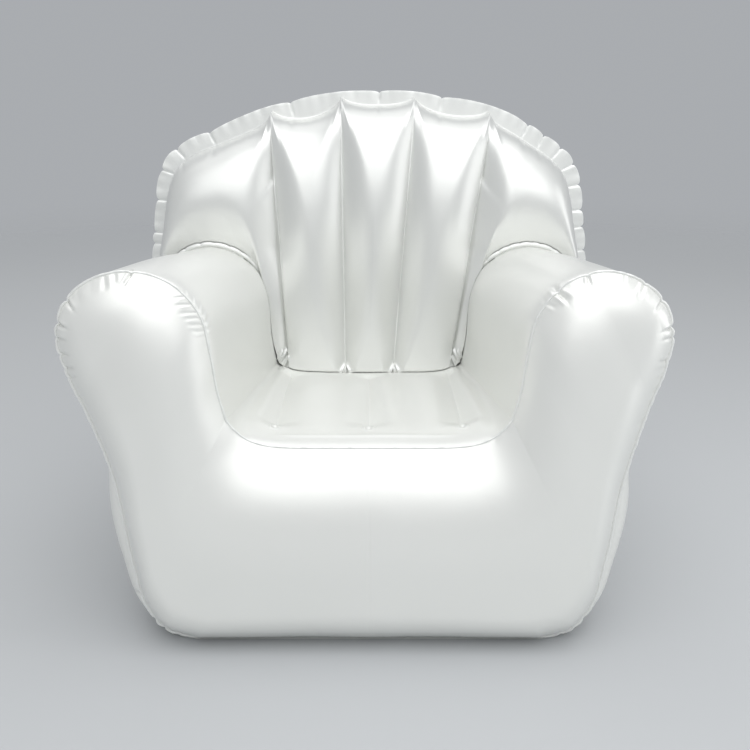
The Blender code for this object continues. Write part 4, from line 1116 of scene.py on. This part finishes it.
def backColumns(k):
    # one half from foot to middle: the block's edge, the flange line, its way outwards, the floor, and
    # what each column belongs to: wing 0, channel 1, middle 2
    edgeSection = besideArm(k)
    arm, seat = armOutline(edgeSection), seatOutline(edgeSection)
    weldFoot = (outerFootX, seatHeight(edgeSection, outerFootX))
    wingEdge = np.concatenate([arm, seat[seat[:, 0] > outerFootX][1:], [weldFoot]])[::-1]
    sides = [(backSideX * u, backTopZ * v) for u, v in k["sideShares"]]
    line = smoothCurve([(backSideX * k["footShare"], low), *sides, outerTop, innerTop, (0, backTopZ)])[::-1]
    lineLength = lengthsOf(line)[-1]
    outer, inner = placeOf(line, outerTop) / lineLength, placeOf(line, innerTop) / lineLength
    wingLength = (1 - outer) * lineLength
    run = np.linspace(0, wingLength, 4000)
    steps = np.interp(run[1:], k["stepPlaces"], k["steps"])
    count = np.concatenate([[0], np.cumsum(np.diff(run) * fine / steps)])
    along = np.interp(np.linspace(0, count[-1], int(count[-1]) + 1), count, run) / wingLength
    wing = edgeShares(k, along)
    channel = crowded(k["channelColumns"])[::-1][1:]
    middle = np.cos(np.linspace(0, np.pi / 2, int(k["middleColumns"]) + 1))[1:]
    middle[-1] = 0
    edgeX = np.concatenate([innerFootX + (outerFootX - innerFootX) * channel, innerFootX * middle])
    seatEdge = np.stack([edgeX, seatHeight(edgeSection, edgeX)], axis=1)
    edge = np.concatenate([spaced(wingEdge, wing)[::-1], seatEdge])
    wingShare = (outer + (1 - outer) * along)[::-1]
    flange = spaced(line, np.concatenate([wingShare, inner + (outer - inner) * channel, inner * middle]))
    flange[-1, 0] = 0
    out = normalsOf(flange)
    out = -out if out[0, 0] < 0 else out
    out[-1] = (0, 1)
    outerFloor = floorX(*weldFoot, outerTop)
    innerFloor = floorX(innerFootX, edgeSection["seatZ"], innerTop)
    wingFloor = (outerFloor + (edgeSection["foot"][0] - outerFloor) * wing)[::-1]
    channelFloor = innerFloor + (outerFloor - innerFloor) * channel
    floorPlaces = np.concatenate([wingFloor, channelFloor, innerFloor * middle])
    floorLine = np.stack([floorPlaces, np.full(len(floorPlaces), low)], axis=1)
    kind = np.repeat([0, 1, 2], [len(wing), len(channel), len(middle)])
    return edge, flange, out, floorLine, kind


def bothHalves(values):
    # left foot to middle, then middle to right foot; x changes its sign on the left
    left = values * np.array([-1, 1]) if values.ndim > 1 else values
    return np.concatenate([left, values[::-1][1:]])


edge, flangeLine, flangeOut, floorLine, kind = [bothHalves(values) for values in backColumns(backSet)]
flangeLine = leaned(flangeLine)
lineRun = lengthsOf(flangeLine)
lineLength = lineRun[-1]
changes = np.flatnonzero(np.diff(kind))
welds = [changes[0], changes[1], changes[2] + 1, changes[3] + 1]


def sagged(k):
    # the inflated edge: it hangs below the flange line between the weld tops and runs up to a point at each
    tops = lineRun[welds]
    quick, slow = k["wingSagOver"]
    sag = np.zeros(len(lineRun))
    for first, last, depth in zip(tops[:-1], tops[1:], k["sags"]):
        sag += depth * np.sin(np.clip((lineRun - first) / (last - first), 0, 1) * np.pi) ** 0.75
    for away in (tops[0] - lineRun, lineRun - tops[-1]):
        hung = (1 - np.exp(-away.clip(0) / quick)) * np.exp(-away.clip(0) / slow)
        sag += np.where(away > 0, k["wingSag"] * hung, 0)
    sag -= k["tip"] * bell(np.abs(lineRun[None] - tops[:, None]).min(axis=0), k["tipWidth"], 1)
    sag *= ease(lineRun / 0.1) * ease((lineLength - lineRun) / 0.1)
    return flangeLine - flangeOut * sag[:, None]


weldLine = sagged(backSet)


def notchRuns(k):
    # the photographed notches, and uneven ones below them on each side
    spots = leaned(np.array(k["left"] + k["right"]))
    shown = sorted(lineRun[nearestOn(flangeLine, spot)] for spot in spots)
    below = unevenSteps(0, shown[0], k["step"], 51)
    above = unevenSteps(shown[-1], lineLength, k["step"], 52)
    return np.concatenate([below, shown[1:-1], above])


notches = notchRuns(flangeSet)

valleySet = {
    "start": 0.003,
    "opens": 0.42,  # half width of a valley for each metre below its weld's top
    "footOpens": 0.45,
    "foot": 0.026,  # and at its foot, from where it spreads again down to the seat
    "footSpread": 0.25,
    "widest": 0.084,
    "wingWidest": 0.105,
    "wingFoot": 0.022,
    "wingFrom": (0.50, 0.24),  # from this height on, over this length
    "wingSteepest": 0.6,
    "rearWidest": 0.090,
    "rearDepth": 0.030,
    "sunk": 0.012,
    "sunkFrom": 0.06,
    "powers": (1.45, 2.10),  # a crease at the top, a round valley further down
    "footFade": 0.82,
    "rearFade": 0.022,
}


def narrowest(*widths):
    # a smooth minimum
    return 1 / sum(1 / width**4 for width in widths) ** 0.25


def valleys(flat, room, sunk, rear=False):
    # how deep the film is drawn in beside the welds: depth · (1 - off / width)^power. The width opens
    # downwards from the weld's top and closes again to its foot, the power grows from a crease at the top
    # to a round, and the depth is the room there is, or what the steepest slope allows in that width.
    k = valleySet
    z = flat[..., 1]
    total = np.zeros(z.shape)
    for index, column in enumerate(welds):
        line = np.interp(z, flat[:, column, 1], flat[:, column, 0])
        off = np.abs(flat[..., 0] - line)
        drop = np.clip(flat[-1, column, 1] - z, 0, None)
        clear = backSet["rearClear"] if rear else backSet["footClear"][index]
        rest = z - flat[0, column, 1] - clear
        opened = k["start"] + k["opens"] * drop
        bottom = k["foot"] + np.where(rest > 0, k["footOpens"], -k["footSpread"]) * rest
        width = allowed = narrowest(opened, bottom, k["rearWidest"] if rear else k["widest"])
        steepest = 1.0
        if index in (0, 3) and not rear:
            start, over = k["wingFrom"]
            up = ease((z - start) / over)
            beside = narrowest(opened, bottom, k["wingFoot"] + (k["wingWidest"] - k["wingFoot"]) * up)
            allowed = np.minimum(width, beside)
            width = np.where((flat[..., 0] - line) * (1 if index else -1) > 0, beside, width)
            steepest = k["wingSteepest"] + (1 - k["wingSteepest"]) * up
        sharp, rounded = k["powers"]
        power = sharp + (rounded - sharp) * ease((drop - 0.03) / 0.20) * ease(rest / 0.06)
        deepest = np.minimum(room + sunk * ease((drop - 0.02) / 0.10), steepest * allowed / power)
        fading = ease(rest / k["rearFade"] + 1) if rear else np.clip(rest / (k["footFade"] * clear) + 1, 0, 1)
        total = np.maximum(total, deepest * fading * (1 - np.clip(off / width, 0, 1)) ** power)
    return total


fanSet = {
    # the gathers at each weld's foot: across and up from its end, angle in radians from straight up, length
    "foot": (((-0.010, -0.003, 3.72, 0.034), (0.0, 0.0, 3.68, 0.046), (0.003, -0.016, 3.60, 0.038)),
             ((0.0, 0.0, 3.66, 0.036), (0.0, 0.0, 3.22, 0.036), (0.003, 0.0, 2.70, 0.034)),
             ((0.0, 0.0, 3.56, 0.034), (0.001, 0.0, 3.08, 0.036), (0.003, 0.0, 2.64, 0.034)),
             ((-0.003, -0.016, 2.70, 0.038), (0.0, 0.0, 2.62, 0.046), (0.010, -0.003, 2.58, 0.034))),
    "footHeight": 0.0060,
    "footWidth": 0.0027,
    "footUp": 0.004,
    "top": ((2.82, 3.42), (2.84, 3.42), (2.86, 3.44), (2.84, 3.46)),
    "topSizes": (0.085, 0.0020, 0.0024),  # length, height, width
    "rearTop": (2.90, 3.38),
    "rearFoot": (2.80, 3.14, 3.48),
    "rearFootSizes": (0.075, 0.0030, 0.0030),
}


def ridgeFan(flat, spot, angles, length, height, width):
    # narrow ridges from one point: height · e^-|across / width|^1.4, rising and fading along each
    dx, dz = flat[..., 0] - spot[0], flat[..., 1] - spot[1]
    total = np.zeros(dx.shape)
    for angle in angles:
        along = dx * math.sin(angle) + dz * math.cos(angle)
        across = dx * math.cos(angle) - dz * math.sin(angle)
        body = ease(along / (0.12 * length)) * (1 - ease((along - 0.45 * length) / (0.55 * length)))
        total = np.maximum(total, height * bell(across, width, 1.4) * body)
    return total


pressSet = {
    "lip": 0.0010,  # between the seat or an arm and the back's lower edge, where it is pressed on them
    "seatFrom": 0.09,
    "seatTable": (0.225, 181),
    "seatEnd": 0.212,
    "armPart": (0.86, 29),
    "armShare": (0.66, 160),
    "armTable": (0.385, 0.66, 80),
    "armZ": (0.392, 0.655),
    "armEnd": 0.36,
}


def looked(table, rows, columns, u, v):
    # bilinear reading of a table at places between its rows and columns
    i = np.interp(u, rows, np.arange(len(rows)))
    j = np.interp(v, columns, np.arange(len(columns)))
    top, left = np.minimum(i.astype(int), len(rows) - 2), np.minimum(j.astype(int), len(columns) - 2)
    down, right = i - top, j - left
    upper = table[top, left] * (1 - right) + table[top, left + 1] * right
    lower = table[top + 1, left] * (1 - right) + table[top + 1, left + 1] * right
    return upper * (1 - down) + lower * down


def pressed(k, points, y):
    # where the back would reach into the seat or the arms it lies on their film instead, at the lip's distance
    x, z = points[..., 0], points[..., 1]
    seat = seatGrid[seatGrid[:, 0, 1] > wallY - k["seatFrom"]]
    widest, count = k["seatTable"]
    xs = np.linspace(-widest, widest, count)
    table = np.array([np.interp(xs, row[::-1, 0], row[::-1, 2]) for row in seat])
    seatZ = looked(table, seat[:, 0, 1], xs, y, x)
    near = (y < wallY) & (np.abs(x) < k["seatEnd"])
    z = np.where(near, np.maximum(z, seatZ + k["lip"]), z)
    part = np.linspace(k["armPart"][0], 1, k["armPart"][1])
    sides = armFlat(np.linspace(k["armShare"][0], 1, k["armShare"][1]), part)
    zs = np.linspace(*k["armTable"])
    table = np.array([np.interp(zs, row[::-1, 1], row[::-1, 0]) for row in sides])
    armX = looked(table, blockY(part), zs, y, z)
    near = (y < wallY) & (z > k["armZ"][0]) & (z < k["armZ"][1]) & (np.abs(x) < k["armEnd"])
    x = np.where(near, np.sign(x) * np.minimum(np.abs(x), armX - k["lip"]), x)
    return np.stack([x, z], axis=-1)


def closing(k, flat):
    # 1 at the inflated edge, 0 where the two films are at their full distance
    return 1 - ease(np.clip(weldLine[None, :, 1] - flat[..., 1], 0, None) / k["pinchFrom"])


def grooved(k, t, near, shown):
    # a weld's groove, depth · e^-distance / width, and its line for the material
    groove = k["grooveDepth"] * bell(near, k["grooveWidth"], 1) * shown * (1 - t[:, None] ** 40)
    return groove, bell(near, k["lineWidth"]) * shown


def edgeFolds(strength, seed, sizes, notchDepth, notchReach):
    # uneven folds along the back's edge, and one from each notch
    strength = [(place * lineLength, value) for place, value in strength]
    fromNotches = [(place, notchDepth, 0.0034, notchReach, 0.0) for place in notches[1:-1]]
    return np.concatenate([gathers(lineLength, strength, seed, *sizes), fromNotches])


def raised(k, flat, y, t, d, high, seed, dentsAt, way):
    # the film with its folds and slow dents, all along its outward normal and fading at its edges
    grid = placed(flat, y)
    dents = ripples(grid, seed, k["dentSize"], k["dent"])
    high = high + dents * ease(d / k["dentFrom"]) * ease(t / dentsAt)[:, None]
    normal = gridNormals(grid)
    outward = np.where(way * normal[..., 1:2] < -0.2, -normal, normal)
    return grid + outward * (high * ease(d / foldSet["seamFade"]) * ease(t / 0.01)[:, None])[..., None]


def backFront(k):
    # y from the wall to the weld plane by the pillow's hold, less the channels' swell, which starts as a
    # quarter circle, plus the valleys beside the welds; ridges at every weld's top and foot
    t = crowded(k["rows"])
    flat = edge[None] + (weldLine - edge)[None] * t[:, None, None]
    plane = weldPlane(flat[..., 1]) - gap
    reach = np.linalg.norm(weldLine - edge, axis=1)
    wings = kind == 0
    depth = np.where(wings, k["wingDepth"], k["channelDepth"]) * ease(reach / k["wingNarrow"])
    gone = t[:, None] * reach[None]
    start = np.where(wings, k["cornerStart"], k["channelStart"])
    curl = np.sqrt(1 - (1 - np.clip(gone / start, 0, 1)) ** 2)
    slow = 1 - (1 - np.clip(gone / np.minimum(k["wingStart"], 0.7 * reach)[None], 0, 1)) ** 2
    fromZ, over = k["wingAbove"]
    above = np.where(wings, ease((edge[:, 1] - fromZ) / over), 0)[None]
    puff = depth[None] * (curl + (slow - curl) * above) * (1 - t ** k["flatten"])[:, None]
    body = (plane - wallY - gap) * hold(t, k["round"])[:, None]
    sunk = valleySet["sunk"] * ease(gone / valleySet["sunkFrom"])
    y = np.minimum(plane - body - puff + valleys(flat, puff + body * closing(k, flat), sunk), plane)
    flat = pressed(pressSet, flat, y)
    high, weldMark = np.zeros(y.shape), np.zeros(y.shape)
    for index, column in enumerate(welds):
        foot, top = edge[column], weldLine[column]
        clear = k["footClear"][index]
        line = np.interp(flat[..., 1], flat[:, column, 1], flat[:, column, 0])
        shown = ease((flat[..., 1] - foot[1] - clear) / 0.012)
        groove, mark = grooved(k, t, flat[..., 0] - line, shown)
        weldMark = np.maximum(weldMark, mark)
        end = foot + (top - foot) * (clear + fanSet["footUp"]) / (top[1] - foot[1])
        gathered = [ridgeFan(flat, end + (right, up), (angle,), length, fanSet["footHeight"], fanSet["footWidth"])
                    for right, up, angle, length in fanSet["foot"][index]]
        high += np.max(gathered, axis=0) - groove
        high += ridgeFan(flat, top, fanSet["top"][index], *fanSet["topSizes"])
    d = (1 - t)[:, None] * reach[None]
    strength = ((0, 0.8), (0.2, 0.9), (0.36, 0.4), (0.5, 0.25), (0.64, 0.4), (0.8, 0.9), (1, 0.8))
    high += pleats(lineRun[None], d, edgeFolds(strength, 61, (0.022, 0.0017, 0.028), 0.0022, 0.026))
    return raised(k, flat, y, t, d, high, k["seed"], 0.2, -1), weldMark


def flangeRows(side):
    # from the dipped weld out to the petals' edge, waved and folded at the notches, same for both films
    k = flangeSet
    upright = np.clip(np.abs(flangeOut[:, 0]), 0, 1)
    width = k["topWidth"] + (k["sideWidth"] - k["topWidth"]) * upright + k["extra"]
    outer = flangeLine + flangeOut * (width - k["notchDepth"] * (1 - petals(lineRun, notches, 2.3)))[:, None]
    outer[:, 1] = np.maximum(outer[:, 1], low)
    rows = np.linspace(0, 1, k["rows"] + 1)[1:, None]
    flat = weldLine[None] + (outer - weldLine)[None] * rows[..., None]
    nearest = np.abs(lineRun[None] - notches[:, None]).min(axis=0)
    fold = k["foldDepth"] * bell(nearest, k["foldWidth"], 1)
    long, short = k["waveLengths"]
    off = k["wave"] * (inLobe(lineRun, notches) - 0.5 + 0.5 * wave(lineRun, long) + 0.4 * wave(lineRun, short))
    bend = off[None] * rows**1.5 + fold[None] * ease(rows / 0.5)
    bend = bend * ease(lineRun / k["waveFrom"]) * ease((lineLength - lineRun) / k["waveFrom"])
    return placed(flat, weldPlane(flat[..., 1]) + side * gap * np.where(rows < 1, 1, 0.05) + bend)


def backWall():
    # the flat wall behind the seat and arms, from a hem on the floor to the block's edge
    rows = np.linspace(0, 1, 7)[:-1, None, None]
    wall = placed(floorLine[None] + (edge - floorLine)[None] * rows, wallY + gap)
    return np.concatenate([[wall[0] + np.array([0, seatSet["hem"], 0])], wall])


frontFilm, weldMark = backFront(backSet)
wall = backWall()
grid = np.concatenate([wall, frontFilm[1:], flangeRows(-1)])
weld = np.concatenate([np.zeros(wall.shape[:2]), weldMark[1:], np.ones((flangeSet["rows"], grid.shape[1]))])
backPiece = skin("backrestFrontPanel", grid, paintedShadeBackFilm, ["backrest_front_panel"], weld)


def backRear(k):
    # y from the weld plane to the rear face by the pillow's hold, less valleys at the welds and a rounded foot
    t = crowded(k["rows"])
    flat = floorLine[None] + (weldLine - floorLine)[None] * t[:, None, None]
    plane = weldPlane(flat[..., 1]) + gap
    roll = np.clip(k["footRadius"] - flat[..., 1], 0, k["footRadius"])
    foot = k["footRadius"] - np.sqrt(k["footRadius"] ** 2 - roll**2)
    body = (rearY - plane - foot) * hold(t, k["rearRound"])[:, None]
    valley = valleys(flat, body * closing(k, flat) + valleySet["rearDepth"], 0, rear=True)
    y = np.maximum(plane + body - valley, plane)
    high, weldMark = np.zeros(y.shape), np.zeros(y.shape)
    shown = ease((flat[..., 1] - k["rearClear"]) / 0.03)
    for column in welds:
        groove, mark = grooved(k, t, flat[..., 0] - flat[:, column, 0][:, None], shown)
        weldMark = np.maximum(weldMark, mark)
        high += ridgeFan(flat, weldLine[column], fanSet["rearTop"], *fanSet["topSizes"]) - groove
        end = (flat[0, column, 0], k["rearClear"] + low)
        high += ridgeFan(flat, end, fanSet["rearFoot"], *fanSet["rearFootSizes"])
    reach = np.linalg.norm(weldLine - floorLine, axis=1)
    d = (1 - t)[:, None] * reach[None]
    strength = ((0, 0.8), (0.2, 0.9), (0.5, 0.45), (0.8, 0.9), (1, 0.8))
    high += pleats(lineRun[None], d, edgeFolds(strength, 71, (0.021, 0.0022, 0.036), 0.0024, 0.034))
    atFloor = gathers(1.2, [(0, 1), (1.2, 1)], 72, 0.026, 0.0020, 0.034)
    high += pleats(flat[..., 0] + 0.6, t[:, None] * reach[None], atFloor)
    return raised(k, flat, y, t, d, high, k["rearSeed"], 0.1, 1), weldMark


rearFilm, rearMark = backRear(backSet)
rearFilm = seatedOn(rearFilm, "back")
hem = rearFilm[:1] - np.array([0, seatSet["hem"], 0])
grid = np.concatenate([hem, rearFilm, flangeRows(1)])
weld = np.concatenate([np.zeros((1, grid.shape[1])), rearMark, np.ones((flangeSet["rows"], grid.shape[1]))])
rearPiece = skin("backrestRearPanel", grid, paintedShadeBackFilm, ["backrest_rear_panel"], weld, "back",
                 flip=True)

# base sheet below both chambers, and the strips inside them

baseSet = {
    "rows": 160 * fine,
    "columns": 150 * fine,
    "fin": 0.006,
    "edgeWave": 0.0010,
    "waveLength": 0.05,
    "height": 0.0004,
}


def basePanel(k):
    # half width by depth: straight below the block, half an ellipse for each end of the backrest
    footX = rearSection["foot"][0] + 3 * chairSize["finRoom"]
    pillowX = backSideX * backSet["footShare"] + flangeSet["sideWidth"]
    middleY = weldPlane(0)
    rearEnd = rearY - backSet["footRadius"]
    blockEnds = [seamY - k["fin"], wallY - k["fin"]]
    half = int(k["rows"] / 2)
    y = np.concatenate([np.linspace(*blockEnds, half), np.linspace(wallY, rearEnd, half)])
    block = np.interp(y, blockEnds, [section["foot"][0] + k["fin"] for section in (frontSection, rearSection)])
    part = np.where(y < middleY, (middleY - y) / (middleY - wallY), (y - middleY) / (rearEnd - middleY))
    pillow = footX + (pillowX - footX) * hold(np.clip(part, 0, 1), backSet["rearRound"])
    halfWidth = np.where(y < wallY - 1e-6, block, pillow) + k["edgeWave"] * wave(y, k["waveLength"])
    x = halfWidth[:, None] * np.linspace(-1, 1, int(k["columns"]) + 1)[None]
    return placed(np.stack([x, np.full(x.shape, k["height"])], axis=-1), y[:, None])


skin("basePanel", basePanel(baseSet), baseFilm, ["base_panel"], flip=True)

stripSet = {
    "tab": 0.008,
    "inside": 0.0028,
    "seatInside": 0.0020,
    "low": 0.050,
    "top": 0.075,
    "rows": 60 * fine,
    "columns": 8,
    "seatFront": 0.125,
    "seatRear": 0.055,
}


def stripGrid(lower, upper, way):
    # a ruled sheet between two lines with a tab along each, to the left (-1) or right (1)
    share = np.linspace(0, 1, stripSet["columns"])[:, None, None]
    web = lower + (upper - lower) * share
    tab = np.array([way * stripSet["tab"], 0, 0])
    return np.concatenate([(lower + tab)[None], web, (upper + tab)[None]])


for number, column in enumerate(welds, 1):
    front, rear = frontFilm[:, column], rearFilm[:, column]
    z = np.linspace(edge[column][1] + stripSet["low"], weldLine[column][1] - stripSet["top"], int(stripSet["rows"]))
    x = np.interp(z, front[:, 2], front[:, 0])
    near = np.stack([x, np.interp(z, front[:, 2], front[:, 1]) + stripSet["inside"], z], axis=1)
    far = np.stack([x, np.interp(z, rear[:, 2], rear[:, 1]) - stripSet["inside"], z], axis=1)
    strip = stripGrid(near, far, -1 if number < 3 else 1)
    skin(f"backRib{number}", strip, stripFilm, [f"back_rib_{number}"])

for number, place in enumerate(seatWelds, 1):
    column = int(np.argmin(np.abs(seatGrid[0, :, 0] - place) + np.abs(seatGrid[-1, :, 0] - place)))
    upper = seatGrid[:, column]
    inside = (upper[:, 1] > seamY + stripSet["seatFront"]) & (upper[:, 1] < wallY - stripSet["seatRear"])
    upper = upper[inside] - np.array([0, 0, stripSet["seatInside"]])
    lower = upper * np.array([1, 1, 0]) + np.array([0, 0, low])
    strip = settled(stripGrid(lower, upper, -1 if place < 0 else 1))
    skin(f"seatRib{number}", strip, stripFilm, [f"seat_rib_{number}"])

# valves: the CAD's own solids, in moulded plastic

for place in ("back", "seat"):
    for part in ("base", "stem", "flap", "plug", "tether"):
        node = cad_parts[f"{place}_valve_{part}"]
        node.data.materials.clear()
        node.data.materials.append(clearPvc if part == "flap" else softPvc)
print("valves finished")
